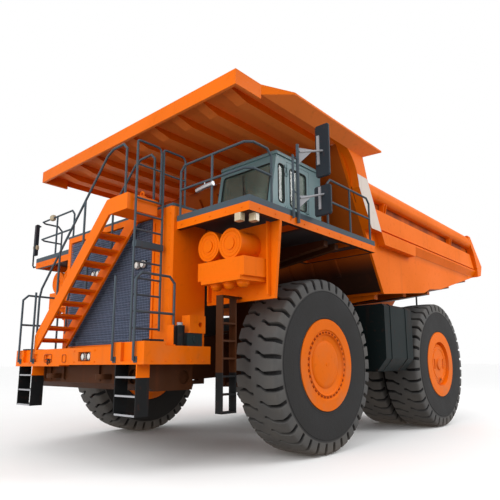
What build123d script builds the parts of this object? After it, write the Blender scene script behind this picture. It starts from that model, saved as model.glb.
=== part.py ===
from build123d import *
import math
import os

# Rigid-frame mining dump truck. Lengths are millimetres, z = 0 is the ground, the truck faces -Y
# and its left side, with the cab, is +X. While it is drawn, y is counted rearward from the front
# axle; each piece is moved to the final origin, under the middle of the truck, as it is saved.

# Overall
front_reach = 3730
wheelbase = 5800
rear_overhang = 4160
rear_reach = wheelbase + rear_overhang
front_axle_y = (front_reach - rear_reach) / 2

# Fits
pin_gap = 0.4
seat_gap = 0.3
moving_gap = 8

# Tyres
tyre_radius = 1725
tyre_width = 960
tyre_bead_radius = 760
sidewall_radius = 1400
sidewall_facets = 16
lug_count = 36
lug_depth = 100

# Rims and axles
flange_radius = 900
flange_thickness = 70
bead_inset = 15
front_wheel_x = 2870
dual_outer_x = 2910
dual_spacing = 1080
spindle_radius = 230
rear_recess_radius = 600
rear_recess_depth = 60
rear_boss_radius = 170
axle_z = tyre_radius
axle_housing_radius = 480

# Steering
kingpin_x = 2150
kingpin_radius = 110
knuckle_radius = 195
knuckle_low_z = 1360
knuckle_high_z = 2120
tie_rod_y = 720
tie_rod_z = 1450
tie_rod_radius = 30
tie_rod_eye = 80
steering_pin_radius = 35
strut_radius = 170
strut_boot_radius = 200
arm_low_z = 1250
arm_thickness = 90
arm_half_length = 500
hanger_length = 200

# Main frame
rail_x = 785
rail_width = 330
rail_front_y = 550 - front_reach
rail_low_z = 1385
rail_rear_y = wheelbase + 1900
tower_half_length = 330
tower_x = 1500
front_box_x = 2050
front_box_front_y = 340 - front_reach
front_box_rear_y = -2420
front_box_low_z = 1300
front_box_bore = 120
front_rib_depth = 45
engine_mount_front_y = -1500
engine_mount_rear_y = -650
engine_mount_depth = 240
engine_mount_width = 220

# Tow eyes, each with an upright bore
tow_eye_x = 900
tow_eye_z = 1530
tow_eye_reach = 130
tow_eye_radius = 110
tow_eye_height = 90
tow_bore_radius = 55
rear_tow_y = wheelbase + 600
rear_tow_radius = 130
rear_tow_height = 120
rear_tow_bore_radius = 60

# Bumper
bumper_x = 2300
bumper_front_y = 70 - front_reach
bumper_depth = 420
bumper_low_z = 1740
bumper_high_z = 2050
bumper_step = 60
bumper_wing_rear_y = -2220
bumper_wing_width = 260
front_box_high_z = bumper_low_z - seat_gap
ladder_x = 1810
ladder_width = 620
ladder_depth = 250
ladder_low_z = 920
ladder_rise = 300
ladder_plate = 25
rung_thickness = 30
side_ladder_x = 2670
side_ladder_depth = 160
side_ladder_front_y = -2450
side_ladder_rear_y = -2100
side_ladder_high_z = 2920
side_ladder_rungs = 6

# Radiator housing and engine
housing_x = 1910
housing_front_y = -2850
housing_rear_y = -2020
housing_low_z = 2060
housing_high_z = 4640
housing_wall = 60
housing_lintel = 120
housing_corner = 40
grille_left_x = 1330
grille_right_x = -1750
grille_low_z = 2140
grille_fins = 28
engine_half_x = 560
engine_front_y = -1900
engine_low_z = 1950
engine_high_z = 3700

# Stair
stair_front_y = bumper_front_y
stair_rear_y = stair_front_y + 660
stringer_thickness = 45
stringer_depth = 270
stair_foot_x = -1500
stair_bend_z = 2340
stair_head_x = 1000
stair_top_x = 1650
stair_top_z = 4740
landing_drop = 300
tread_count = 9
tread_depth = 230
tread_thickness = 40
pipe_radius = 22
pipe_bend = 110
front_rail_y = pipe_radius - front_reach

# Decks
deck_x = 3720
deck_front_y = -2750
deck_rear_y = 1480
deck_low_z = 4190
deck_edge_z = 4340
deck_top_z = 4450
deck_inner_x = housing_x + 5
deck_plate = 45
deck_edge_width = 90
rail_height = 970
centre_deck_z = housing_high_z + 50
tower_top_z = deck_low_z - 10
cabinet_height = 1050

# Cab
cab_left_x = 2850
cab_right_x = 1270
cab_front_top_y = -950
cab_front_foot_y = -1220
cab_rear_y = 650
cab_roof_z = 6010
cab_roof_thickness = 90
cab_wall = 60
cab_floor_thickness = 80
cab_foot_z = deck_edge_z + deck_plate + seat_gap
glass_thickness = 12
glass_corner = 70
glass_low_z = 4930
glass_high_z = 5830
glass_side_inset = 110
rear_glass_inset = 200
quarter_glass_y = (-890, -700)
quarter_glass_z = 5000
right_glass_y = (-750, 400)
door_front_y = -610
door_width = 800
door_low_z = 4620
door_high_z = 5930
door_frame = 110
door_glass_low_z = 4980
door_hinge_out = 15
door_hinge_inset = 200
door_hinge_half = 60
door_hinge_leaf = 60
seat_x = 2060
seat_height = 1150
steering_wheel_radius = 228

# Mirrors
mirror_y = -880
mirror_left_x = 4120
mirror_post_y = -1450

# Air cleaners
panel_y = -1960
panel_thickness = 60
panel_low_z = 2840
panel_foot_x = 3590
cleaner_front_y = -2500
cleaner_left_x = 3370
cleaner_right_x = 2240
cleaner_low_z = 3200
cleaner_high_z = 3530
canister_radius = 255
dust_cup_radius = 115

# Tanks
tank_front_y = tyre_radius + 625
tank_rear_y = wheelbase - tyre_radius - 225
tank_low_z = 1560
tank_high_z = 3150
fuel_tank_x = 3430
oil_tank_x = 3000

# Dump bed
bed_half_x = 3300
bed_wall = 60
floor_half_x = bed_half_x - 150
head_foot_y = 2650
head_foot_z = 3420
head_top_y = 770
head_top_z = 6650
floor_break_y = wheelbase + 600
floor_break_z = 3950
floor_tail_y = rear_reach - 170
floor_tail_z = 4790
floor_plate = 70
skirt_step_y = wheelbase - 450
skirt_drop = 65
tail_top_y = rear_reach - 1030
tail_mid_z = 5140
top_rail_high_z = 6050
top_rail_low_z = 5670
top_rail_depth = 200
top_rail_round = 150
band_high_z = 5450
band_low_z = 4980
band_depth = 120
low_rail_high_z = 4900
low_rail_low_z = 4590
low_rail_depth = 190
low_rail_rear_y = 4240
ledge_depth = 130
ledge_thickness = 35
ledge_root = 240
ledge_z = 4940
gusset_spacing = 120
post_low_z = 4870
post_x = bed_half_x + top_rail_depth
stringer_x = 785
stringer_width = 240
stringer_rest = 35
bolster_count = 5
bolster_depth = 210
head_rib_count = 7
head_rib_depth = 90
head_rib_width = 120

# Canopy
canopy_clearance = 640
canopy_top_z = cab_roof_z + cab_roof_thickness + canopy_clearance
canopy_plate = 45
canopy_front_y = -2850
canopy_front_x = post_x
canopy_wing = 300
canopy_notch_y = -2180
canopy_wing_front_y = -1550
canopy_wing_rear_y = 1890
canopy_wing_root = 200
canopy_wing_edge = 40
canopy_lip = 285
canopy_rib_count = 9
canopy_rib_pitch = 750
canopy_rib_width = 240
canopy_rib_depth = 150
arch_front_y = 300
arch_middle_y = 980
arch_middle_z = 6410
arch_low_z = 5760

# Bed pivot and hoists
pivot_y = wheelbase + 1400
pivot_z = 3200
pivot_radius = 95
hoist_x = 1150
hoist_foot_y = wheelbase - 1710
hoist_foot_z = 1550
hoist_head_y = wheelbase - 1000
hoist_head_z = 3150
hoist_radius = 175
hoist_pin_radius = 70
hoist_stage_radius = 140
hoist_rod_radius = 105
hoist_eye_half = 115


def block(x, y, z):
    # a box between the lowest and highest x, y and z
    size = [b - a for a, b in (x, y, z)]
    return Pos(*[(a + b) / 2 for a, b in (x, y, z)]) * Box(*size)


def pane(x, y, z, axis, radius):
    # a box whose four edges along one axis are rounded
    box = block(x, y, z)
    return fillet(box.edges().filter_by(axis), radius)


def bar(start, end, radius):
    # a round bar from one point to another
    a, b = Vector(*start), Vector(*end)
    plane = Plane(origin=a, z_dir=b - a)
    return extrude(plane * Circle(radius), (b - a).length)


def side_slab(points, x):
    # an outline in y and z, as thick as the two x values
    face = make_face(Polyline(*[(x[0], y, z) for y, z in points], close=True))
    return extrude(face, x[1] - x[0], dir=(1, 0, 0))


def front_slab(points, y):
    # an outline in x and z, as thick as the two y values
    face = make_face(Polyline(*[(x, y[0], z) for x, z in points], close=True))
    return extrude(face, y[1] - y[0], dir=(0, 1, 0))


def plan_slab(points, z):
    # an outline in x and y, as thick as the two z values
    face = make_face(Polyline(*[(x, y, z[0]) for x, y in points], close=True))
    return extrude(face, z[1] - z[0], dir=(0, 0, 1))


def wheel_ring(outline, y):
    # an outline of x and radius turned about an axle that stands at y
    face = make_face(Polyline(*[(x, y, axle_z + r) for x, r in outline], close=True))
    return revolve(face, Axis((0, y, axle_z), (1, 0, 0)), 360)


def pipe(points, radius=pipe_radius, bend=0):
    # a mitred round pipe through the points; a bend cuts each corner off by that length
    path = [Vector(*points[0])]
    for before, corner, after in zip(points, points[1:], points[2:]):
        here = Vector(*corner)
        if bend:
            path.append(here + (Vector(*before) - here).normalized() * bend)
            path.append(here + (Vector(*after) - here).normalized() * bend)
        else:
            path.append(here)
    path.append(Vector(*points[-1]))
    line = Polyline(*path)
    start = Plane(origin=line @ 0, z_dir=line % 0)
    return sweep(start * Circle(radius), path=line, transition=Transition.RIGHT)


def other_side(shape):
    return mirror(shape, about=Plane.YZ)


def both_sides(shape):
    return shape + other_side(shape)


def fused(shapes):
    # one shape from a list of them
    whole = shapes[0]
    for shape in shapes[1:]:
        whole += shape
    return whole


def along(a, b, share):
    return a + (b - a) * share


def line_at(y, start, end):
    # height at y of the straight line through two (y, z) points
    return start[1] + (end[1] - start[1]) * (y - start[0]) / (end[0] - start[0])


# Main frame: two deep box rails, cross members and the bed's pivot ears
def frame_top(y):
    return line_at(y, (2000, 2750), (rail_rear_y, 3000))


def rail_bottom(y):
    return line_at(y, (front_box_rear_y + seat_gap, rail_low_z), (wheelbase - 1250, 1700))


def main_frame():
    inner, outer = rail_x - rail_width / 2, rail_x + rail_width / 2
    step_y, step_z = front_box_rear_y + seat_gap, front_box_high_z + seat_gap
    outline = [
        (rail_front_y, step_z), (step_y, step_z), (step_y, rail_low_z), (wheelbase - 1250, 1700),
        (wheelbase - 850, 2350), (rail_rear_y, 2420), (rail_rear_y, frame_top(rail_rear_y)),
        (2000, frame_top(2000)), (-1200, 2300), (housing_rear_y + 20, housing_low_z - 10),
        (rail_front_y, housing_low_z - 30),
    ]
    frame = both_sides(side_slab(outline, (inner, outer)))
    # cross members: y, z, half length, half height
    for y, z, long, high in (
        (-2200, 1620, 150, 190), (0, 1720, 230, 200), (3300, 1950, 160, 280),
        (wheelbase - 1400, 2100, 130, 260), (wheelbase + 650, 2720, 200, 200),
        (pivot_y + 200, 2720, 160, 200),
    ):
        frame += block((-inner - 10, inner + 10), (y - long, y + long), (z - high, z + high))
    # the two members that carry the engine
    mount_top_z = engine_low_z - seat_gap
    for y in (engine_mount_front_y, engine_mount_rear_y):
        frame += block((-inner - 10, inner + 10), (y - engine_mount_width / 2, y + engine_mount_width / 2),
                       (mount_top_z - engine_mount_depth, mount_top_z))
    # pivot ears each side of the bed's stringers, with the pin between them
    ear_low = frame_top(pivot_y) - 300
    for x in (stringer_x - stringer_width / 2 - moving_gap - 50,
              stringer_x + stringer_width / 2 + moving_gap):
        ear = side_slab([(pivot_y - 300, ear_low), (pivot_y + 300, ear_low), (pivot_y + 190, pivot_z + 60),
                         (pivot_y - 190, pivot_z + 60)], (x, x + 50))
        ear += bar((x, pivot_y, pivot_z), (x + 50, pivot_y, pivot_z), 200)
        frame += both_sides(ear)
    pin_half = stringer_width / 2 + moving_gap + 25
    frame += both_sides(bar(
        (stringer_x - pin_half, pivot_y, pivot_z), (stringer_x + pin_half, pivot_y, pivot_z), pivot_radius
    ))
    # lower hoist pins
    frame += both_sides(bar(
        (outer - 20, hoist_foot_y, hoist_foot_z), (hoist_x + 130, hoist_foot_y, hoist_foot_z),
        hoist_pin_radius,
    ))
    frame += both_sides(block((outer - 60, outer + 20), (hoist_foot_y - 160, hoist_foot_y + 160),
                              (1420, 1900)))
    return frame


# Front box: the beam that joins the rails ahead of the wheels, with the tow eyes
def front_box():
    y0, y1, z0, z1 = front_box_front_y, front_box_rear_y, front_box_low_z, front_box_high_z
    box = side_slab([(y0, z0 + 110), (y0 + 140, z0), (y1, z0), (y1, z1), (y0, z1)],
                    (-front_box_x, front_box_x))
    for y in (y0 - 10, y1 - 60):
        box -= both_sides(bar((1650, y, 1540), (1650, y + 70, 1540), front_box_bore))
    # round pockets in its ends
    bore_y, bore_z = (y0 + y1) / 2 + 290, (z0 + z1) / 2
    box -= both_sides(bar((front_box_x - 60, bore_y, bore_z), (front_box_x + 10, bore_y, bore_z),
                          front_box_bore))
    # standing ribs on its front
    for x in (640, 1180, 1430):
        rib = [(y0 - front_rib_depth, z0 + 190), (y0 + 1, z0 + 130), (y0 + 1, z1),
               (y0 - front_rib_depth, z1)]
        box += both_sides(side_slab(rib, (x - 18, x + 18)))
    x, y = tow_eye_x, front_box_front_y - tow_eye_reach
    low, high = tow_eye_z - tow_eye_height / 2, tow_eye_z + tow_eye_height / 2
    eye = bar((x, y, low), (x, y, high), tow_eye_radius)
    eye += block((x - tow_eye_radius, x + tow_eye_radius), (y, front_box_front_y + 1), (low, high))
    eye -= bar((x, y, low - 1), (x, y, high + 1), tow_bore_radius)
    return box + both_sides(eye)


# Deck tower: two legs beside the rails, a head beam, the struts' brackets and the deck's outriggers
def deck_tower():
    foot_x = rail_x + rail_width / 2 + seat_gap
    leg = front_slab(
        [(foot_x, 1900), (tower_x, 2450), (tower_x, tower_top_z), (foot_x, tower_top_z)],
        (-tower_half_length, tower_half_length),
    )
    tower = both_sides(leg)
    tower += block((-tower_x, tower_x), (-tower_half_length, tower_half_length), (3850, tower_top_z))
    for low, high in ((2520, 2700), (3150, 3330)):
        bracket = block((tower_x - 10, kingpin_x), (-200, 200), (low, high))
        tower += both_sides(bracket - bar((kingpin_x, 0, low - 1), (kingpin_x, 0, high + 1),
                                          strut_radius + seat_gap))
    # tapered outriggers under the deck's edge
    arm = front_slab([(tower_x - 10, deck_low_z - 380), (deck_x - 220, deck_low_z - 120),
                      (deck_x - 220, deck_low_z - seat_gap), (tower_x - 10, deck_low_z - seat_gap)],
                      (-70, 70))
    for y in (-200, 200):
        tower += both_sides(Pos(0, y, 0) * arm)
    return tower


# Bumper: a hollow beam with side wings and raised posts beside the ladder's recess
def front_bumper():
    y0, z0, z1 = bumper_front_y, bumper_low_z, bumper_high_z
    beam = block((-bumper_x, bumper_x), (y0, y0 + bumper_depth), (z0, z1))
    beam += block((1400, bumper_x), (y0, y0 + bumper_depth), (z0, z1 + bumper_step))
    wing_x = bumper_x - bumper_wing_width
    beam += both_sides(block((wing_x, bumper_x), (y0, bumper_wing_rear_y), (z0, z1)))
    # its right end stands a little lower, with two shallow sockets
    beam += block((-bumper_x, -400), (y0, front_box_front_y - front_rib_depth - moving_gap),
                  (z0 - 25, z0 + 5))
    for x, half in ((-1380, 90), (-900, 60)):
        beam -= block((x - half, x + half), (y0 - 1, y0 + 35), (z0 + 60, z1 - 90))
    # lamp recess and the ladders' recesses
    beam -= block((300, 720), (y0 - 1, y0 + 120), (1800, 1970))
    beam -= block((ladder_x - 150, ladder_x + 170), (y0 - 1, y0 + 60), (1790, z1 + bumper_step + 1))
    beam -= block((-ladder_x - 150, -ladder_x + 150), (y0 - 1, y0 + 60), (1790, z1 + 1))
    return beam


# Hanging ladders: side plates joined by flat treads, two ahead and one beside each wing
def front_ladders():
    top_z = bumper_low_z - seat_gap
    y0, y1 = bumper_front_y + 5, bumper_front_y + 5 + ladder_depth
    ladders = []
    for s in (1, -1):
        x0, x1 = s * ladder_x - ladder_width / 2, s * ladder_x + ladder_width / 2
        high = top_z if s > 0 else top_z - 25
        for x in (x0, x1 - ladder_plate):
            ladders.append(block((x, x + ladder_plate), (y0, y1), (ladder_low_z, high)))
        for i in range(3):
            z = ladder_low_z + i * ladder_rise
            ladders.append(block((x0, x1), (y0, y1), (z, z + rung_thickness)))
    return fused(ladders)


# Side ladder: hangs from the left air cleaner's panel, ahead of the front wheel
def side_ladder():
    x = (side_ladder_x, side_ladder_x + side_ladder_depth)
    y0, y1 = side_ladder_front_y, side_ladder_rear_y
    ladder = block(x, (y0, panel_y - seat_gap), (side_ladder_high_z - ladder_plate, side_ladder_high_z))
    for y in (y0, y1 - ladder_plate):
        ladder += block(x, (y, y + ladder_plate), (ladder_low_z, side_ladder_high_z))
    for i in range(side_ladder_rungs):
        z = ladder_low_z + i * ladder_rise
        ladder += block(x, (y0, y1), (z, z + rung_thickness))
    return ladder


# Wing equipment: valve and its box, canister, bracket and the step plates on the bumper's ends
def wing_equipment():
    z = bumper_high_z + seat_gap
    x = bumper_x - bumper_wing_width / 2
    valve = pane((x - 90, x + 90), (-2740, -2390), (z, 2285), Axis.X, 20)
    valve += bar((x - 105, -2560, 2170), (x + 105, -2560, 2170), 60)
    box = block((x - 105, x + 105), (-2700, -2330), (2280, 2590))
    box -= bar((x - 110, -2450, 2430), (x + 110, -2450, 2430), 45)
    canister = bar((x + 35, -2865, z), (x + 35, -2865, 2400), 85)
    canister += bar((x + 35, -2865, 2399), (x + 35, -2865, 2450), 50)
    bracket = side_slab([(-3050, z), (-2990, z), (-2990, z + 20), (-3030, z + 20), (-3030, 2400),
                         (-3050, 2400)],
                        (x - 80, x + 80))
    steps = block((x - 110, x + 110), (-3540, -3260), (z + bumper_step, z + bumper_step + 35))
    steps += block((-x - 110, -x + 110), (-3540, -2960), (z, z + 35))
    return valve + box + canister + bracket + steps


# Rails round the bumper's two standing places, with flat bars across to the inner posts
def grab_rails():
    rails = []
    y0, y1, top = front_rail_y, stair_rear_y + 100, 3250
    outer_x, inner_x = 2080, 1480
    for s in (1, -1):
        rails.append(pipe([(s * outer_x, y0, 1800), (s * outer_x, y0, top), (s * outer_x, y1, top),
                           (s * outer_x, y1, bumper_high_z + seat_gap)], bend=pipe_bend))
        rails.append(bar((s * outer_x, y0, 2600), (s * outer_x, y1, 2600), pipe_radius))
        rails.append(bar((s * inner_x, y0, 1800), (s * inner_x, y0, top), pipe_radius))
        for x in (inner_x, outer_x):
            rails.append(bar((s * x, y0, 1820), (s * x, bumper_front_y - seat_gap, 1820), pipe_radius))
            # clamp feet
            rails.append(block((s * x - 45, s * x + 45), (bumper_front_y - 15, bumper_front_y - seat_gap),
                               (1770, 1870)))
    return fused(rails)


# Radiator housing: a deep surround, open to the front behind the grille
def radiator_housing():
    shell = block((-housing_x, housing_x), (housing_front_y, housing_rear_y),
                  (housing_low_z, housing_high_z))
    shell = chamfer(shell.edges().filter_by(Axis.Z).group_by(Axis.Y)[0], housing_corner)
    shell -= block((grille_right_x, grille_left_x), (housing_front_y - 1, housing_rear_y - housing_wall),
                   (grille_low_z, housing_high_z - housing_lintel))
    # a rib down the left pillar
    shell += block((grille_left_x + 40, grille_left_x + 90), (housing_front_y - 25, housing_front_y + 1),
                   (housing_low_z, housing_high_z - 260))
    return shell


# Grille: flat fins before a sheet, in a thin frame
def radiator_grille():
    x = (grille_right_x + seat_gap, grille_left_x - seat_gap)
    z = (grille_low_z + seat_gap, housing_high_z - housing_lintel - seat_gap)
    grille = block(x, (housing_front_y + 70, housing_front_y + 100), z)
    pitch = (z[1] - z[0]) / grille_fins
    for i in range(grille_fins):
        low = z[0] + i * pitch
        fin = side_slab([(housing_front_y + 25, low), (housing_front_y + 75, low + pitch * 0.35),
                         (housing_front_y + 75, low + pitch * 0.65),
                         (housing_front_y + 25, low + pitch * 0.2)], x)
        grille += fin
    return grille


# Engine: one plain block with sloped shoulders
def engine_block():
    x, z0, z1 = engine_half_x, engine_low_z, engine_high_z
    outline = [(-x, z0), (x, z0), (x, z1 - 500), (x - 180, z1), (180 - x, z1), (-x, z1 - 500)]
    return front_slab(outline, (engine_front_y, -tower_half_length - 10))


# Stair: two leaning stringers, a landing and flat treads
def stairway():
    slope = (stair_top_z - stair_bend_z) / (stair_head_x - stair_foot_x)
    drop = stringer_depth * math.sqrt(1 + slope ** 2)
    foot_z = bumper_high_z + seat_gap
    low_foot_x = stair_foot_x + (foot_z - stair_bend_z + drop) / slope
    landing_z = stair_top_z - landing_drop
    low_head_x = stair_foot_x + (landing_z - stair_bend_z + drop) / slope
    outline = [
        (stair_foot_x, foot_z), (stair_foot_x, stair_bend_z), (stair_head_x, stair_top_z),
        (stair_top_x, stair_top_z), (stair_top_x, landing_z), (low_head_x, landing_z), (low_foot_x, foot_z),
    ]
    stair = front_slab(outline, (stair_front_y, stair_front_y + stringer_thickness))
    stair += front_slab(outline, (stair_rear_y - stringer_thickness, stair_rear_y))
    y = (stair_front_y + 5, stair_rear_y - 5)
    rise = (landing_z - foot_z) / (tread_count + 1)
    for i in range(1, tread_count + 1):
        z = foot_z + i * rise
        x = stair_foot_x + (z - stair_bend_z + drop / 2) / slope
        # a folded tread: the step and its turned-down front lip
        lip = [(x - tread_depth / 2, z - tread_thickness), (x + tread_depth / 2, z - tread_thickness),
               (x + tread_depth / 2, z), (x - tread_depth / 2, z), (x - tread_depth / 2 - 30, z - 75),
               (x - tread_depth / 2 - 12, z - 82)]
        stair += front_slab(lip, y)
    stair += block((low_head_x + 40, stair_top_x), y, (landing_z, landing_z + 60))
    stair += block((stair_top_x - stringer_thickness, stair_top_x), y, (landing_z, stair_top_z))
    return stair


def stringer_top(x):
    # height at x where a rail post stands on the sloping stringer
    return line_at(x + pipe_radius, (stair_foot_x, stair_bend_z), (stair_head_x, stair_top_z)) + seat_gap


# Stair rails
def stair_rails():
    rails = []
    top = stair_top_z + rail_height
    foot_x = stair_foot_x + 40
    for y in (stair_front_y + 20, stair_rear_y - 20):
        rails.append(pipe([
            (foot_x, y, stringer_top(foot_x)), (foot_x, y, 3250), (stair_head_x, y, top),
            (stair_top_x - 100, y, top), (stair_top_x - 100, y, stair_top_z + seat_gap),
        ], bend=pipe_bend))
        for x in (-700, 200):
            z = line_at(x, (foot_x, 3250), (stair_head_x, top))
            rails.append(bar((x, y, stringer_top(x)), (x, y, z), pipe_radius))
    return fused(rails)


# Upright ladder beside the landing
def upright_ladder():
    x = stair_top_x + 60
    front_y, rear_y = -3520, -2930
    ladder = bar((x, front_y, bumper_high_z + bumper_step + seat_gap), (x, front_y, 5700), pipe_radius)
    ladder += bar((x, rear_y, 2320), (x, rear_y, 5700), pipe_radius)
    for i in range(9):
        z = 2350 + i * 290
        ladder += bar((x, front_y, z), (x, rear_y, z), pipe_radius * 0.8)
    # one wide step
    return ladder + block((x - 60, x + 60), (front_y, rear_y), (3770, 3880))


# Decks: a channel-edged floor with a kick plate along its outer edges and cross channels below
def deck(inner_x):
    x = (inner_x, deck_x)
    floor = block(x, (deck_front_y, deck_rear_y), (deck_edge_z, deck_edge_z + deck_plate))
    rim = block(x, (deck_front_y, deck_rear_y), (deck_low_z, deck_top_z))
    rim -= block((inner_x - 1, deck_x - deck_edge_width),
                 (deck_front_y + deck_edge_width, deck_rear_y - deck_edge_width),
                 (deck_low_z - 1, deck_top_z + 1))
    floor += rim
    for y in (-1150, 700):
        floor += block((inner_x + 20, deck_x - 20), (y - 50, y + 50), (deck_low_z + 30, deck_edge_z + 1))
    return floor


def centre_deck():
    half = deck_inner_x - seat_gap
    floor = block((-half, half), (housing_rear_y, deck_rear_y), (deck_edge_z, deck_edge_z + deck_plate))
    floor += block((-half, half), (housing_front_y, housing_rear_y + 60),
                   (housing_high_z + seat_gap, centre_deck_z))
    floor += block((-half, half), (housing_rear_y + seat_gap, housing_rear_y + 60),
                   (deck_edge_z, centre_deck_z))
    floor += both_sides(block((half - 120, half), (housing_rear_y + 60, deck_rear_y),
                              (deck_low_z, deck_edge_z)))
    return floor


# Deck rails: pipe runs with bent corners, a middle rail and posts
def deck_rails(side):
    top, mid = deck_top_z + rail_height, deck_top_z + rail_height * 0.52
    foot = deck_top_z + seat_gap
    near_x, post_x, out_x = side * (deck_inner_x + 45), side * 2800, side * (deck_x - 40)
    front_y, gate_y, gate_rear_y, rear_y = deck_front_y + 40, -2130, -370, deck_rear_y - 130
    rails = [
        pipe([(near_x, front_y, foot), (near_x, front_y, top), (out_x, front_y, top), (out_x, gate_y, top),
              (out_x, gate_y, foot)], bend=pipe_bend),
        pipe([(near_x, front_y, mid), (out_x, front_y, mid), (out_x, gate_y, mid)], bend=pipe_bend),
        bar((post_x, front_y, foot), (post_x, front_y, top), pipe_radius),
        pipe([(out_x, gate_rear_y, foot), (out_x, gate_rear_y, top), (out_x, rear_y, top),
              (out_x, rear_y, foot)],
             bend=pipe_bend),
        bar((out_x, gate_rear_y, mid), (out_x, rear_y, mid), pipe_radius),
        bar((out_x, 500, foot), (out_x, 500, top), pipe_radius),
    ]
    return fused(rails)


# Air cleaners: a support panel, the intake box with its lower tray, two canisters and three dust cups
def air_cleaner():
    x0, x1, y0 = cleaner_right_x, cleaner_left_x, cleaner_front_y
    top_z = deck_low_z - seat_gap
    panel = front_slab([(housing_x + seat_gap, panel_low_z), (panel_foot_x, panel_low_z), (deck_x, top_z),
                        (housing_x + seat_gap, top_z)], (panel_y, panel_y + panel_thickness))
    # stiffening flanges down the panel
    for x in (2010, 3480):
        panel += block((x, x + 30), (panel_y - 90, panel_y + 1), (panel_low_z + 60, top_z))
    outline = [(x0, y0), (x1, y0), (x1 + 100, panel_y + 5), (x0, panel_y + 5)]
    body = plan_slab(outline, (cleaner_low_z, cleaner_high_z))
    tray = plan_slab([(x0 + 120, y0 - 30), (x1 - 60, y0 - 30), (x1 + 60, panel_y + 5),
                      (x0 + 120, panel_y + 5)],
                     (cleaner_low_z - 75, cleaner_low_z + 5))
    body += tray
    for x, z in ((2490, 3820), (3030, 3790)):
        body += bar((x, y0 + 60, z), (x, panel_y + 5, z), canister_radius)
        body += bar((x, y0 + 20, z), (x, y0 + 75, z), canister_radius + 18)
        body += bar((x, y0, z), (x, y0 + 21, z), canister_radius * 0.42)
        body += block((x - 150, x + 150), (y0 + 150, panel_y + 5), (cleaner_high_z - 5, z))
    for x in (2560, 2880, 3200):
        r, z = dust_cup_radius, cleaner_low_z - 75
        cup = make_face(Polyline((x, y0 + 170, z + 6), (x + r, y0 + 170, z + 6),
                                 (x + r * 0.92, y0 + 170, z - r * 0.45),
                                 (x + r * 0.55, y0 + 170, z - r * 0.85), (x, y0 + 170, z - r), close=True))
        body += revolve(cup, Axis((x, y0 + 170, z), (0, 0, 1)), 360)
    return panel + body


# Cab panels
def cab_front_at(z):
    return line_at(z, (cab_foot_z, cab_front_foot_y), (cab_roof_z, cab_front_top_y))


def cab_floor():
    return block((cab_right_x, cab_left_x), (cab_front_foot_y, cab_rear_y),
                 (cab_foot_z, cab_foot_z + cab_floor_thickness))


def cab_front():
    z0, z1 = cab_foot_z + cab_floor_thickness, cab_roof_z
    front = side_slab(
        [(cab_front_at(z0), z0), (cab_front_at(z1), z1), (cab_front_at(z1) + cab_wall, z1),
         (cab_front_at(z0) + cab_wall, z0)],
        (cab_right_x, cab_left_x),
    )
    return front - pane((cab_right_x + glass_side_inset, cab_left_x - glass_side_inset),
                        (cab_front_foot_y - 200, cab_front_top_y + 200), (glass_low_z, glass_high_z),
                        Axis.Y, glass_corner)


def cab_rear():
    z0 = cab_foot_z + cab_floor_thickness
    rear = block((cab_right_x, cab_left_x), (cab_rear_y - cab_wall, cab_rear_y), (z0, cab_roof_z))
    return rear - pane((cab_right_x + rear_glass_inset, cab_left_x - rear_glass_inset),
                       (cab_rear_y - cab_wall - 1, cab_rear_y + 1), (glass_low_z + 200, glass_high_z),
                       Axis.Y, glass_corner)


def cab_side(x):
    z0 = cab_foot_z + cab_floor_thickness
    return side_slab(
        [(cab_front_at(z0) + cab_wall, z0), (cab_rear_y - cab_wall, z0),
         (cab_rear_y - cab_wall, cab_roof_z),
         (cab_front_at(cab_roof_z) + cab_wall, cab_roof_z)],
        x,
    )


def cab_side_left():
    x = (cab_left_x - cab_wall, cab_left_x)
    cut_x = (x[0] - 1, x[1] + 1)
    side = cab_side(x)
    gap = moving_gap
    side -= block(cut_x, (door_front_y - gap, door_front_y + door_width + gap),
                  (door_low_z - gap, door_high_z + gap))
    # quarter window ahead of the door
    side -= pane(cut_x, quarter_glass_y, (quarter_glass_z, glass_high_z), Axis.X, glass_corner)
    # fixed hinge knuckles above and below each of the door's own
    pin_x, pin_y = cab_left_x + door_hinge_out, door_front_y - gap / 2
    for z in (door_low_z + door_hinge_inset, door_high_z - door_hinge_inset):
        for near, far in ((z + door_hinge_half + seat_gap, z + door_hinge_half + 60),
                          (z - door_hinge_half - seat_gap, z - door_hinge_half - 60)):
            side += bar((pin_x, pin_y, near), (pin_x, pin_y, far), door_hinge_out - 0.5)
            side += block((cab_left_x - 1, pin_x),
                          (door_front_y - gap - door_hinge_leaf, door_front_y - gap),
                          (min(near, far), max(near, far)))
    return side


def cab_side_right():
    side = cab_side((cab_right_x, cab_right_x + cab_wall))
    return side - pane((cab_right_x - 1, cab_right_x + cab_wall + 1), right_glass_y,
                       (glass_low_z, glass_high_z),
                       Axis.X, glass_corner)


def cab_roof():
    over = 30
    roof = block((cab_right_x - over, cab_left_x + over), (cab_front_top_y - over, cab_rear_y + over),
                 (cab_roof_z, cab_roof_z + cab_roof_thickness))
    roof = fillet(roof.edges().filter_by(Axis.Z), 60)
    return chamfer(roof.edges().group_by(Axis.Z)[-1], 30)


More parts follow.
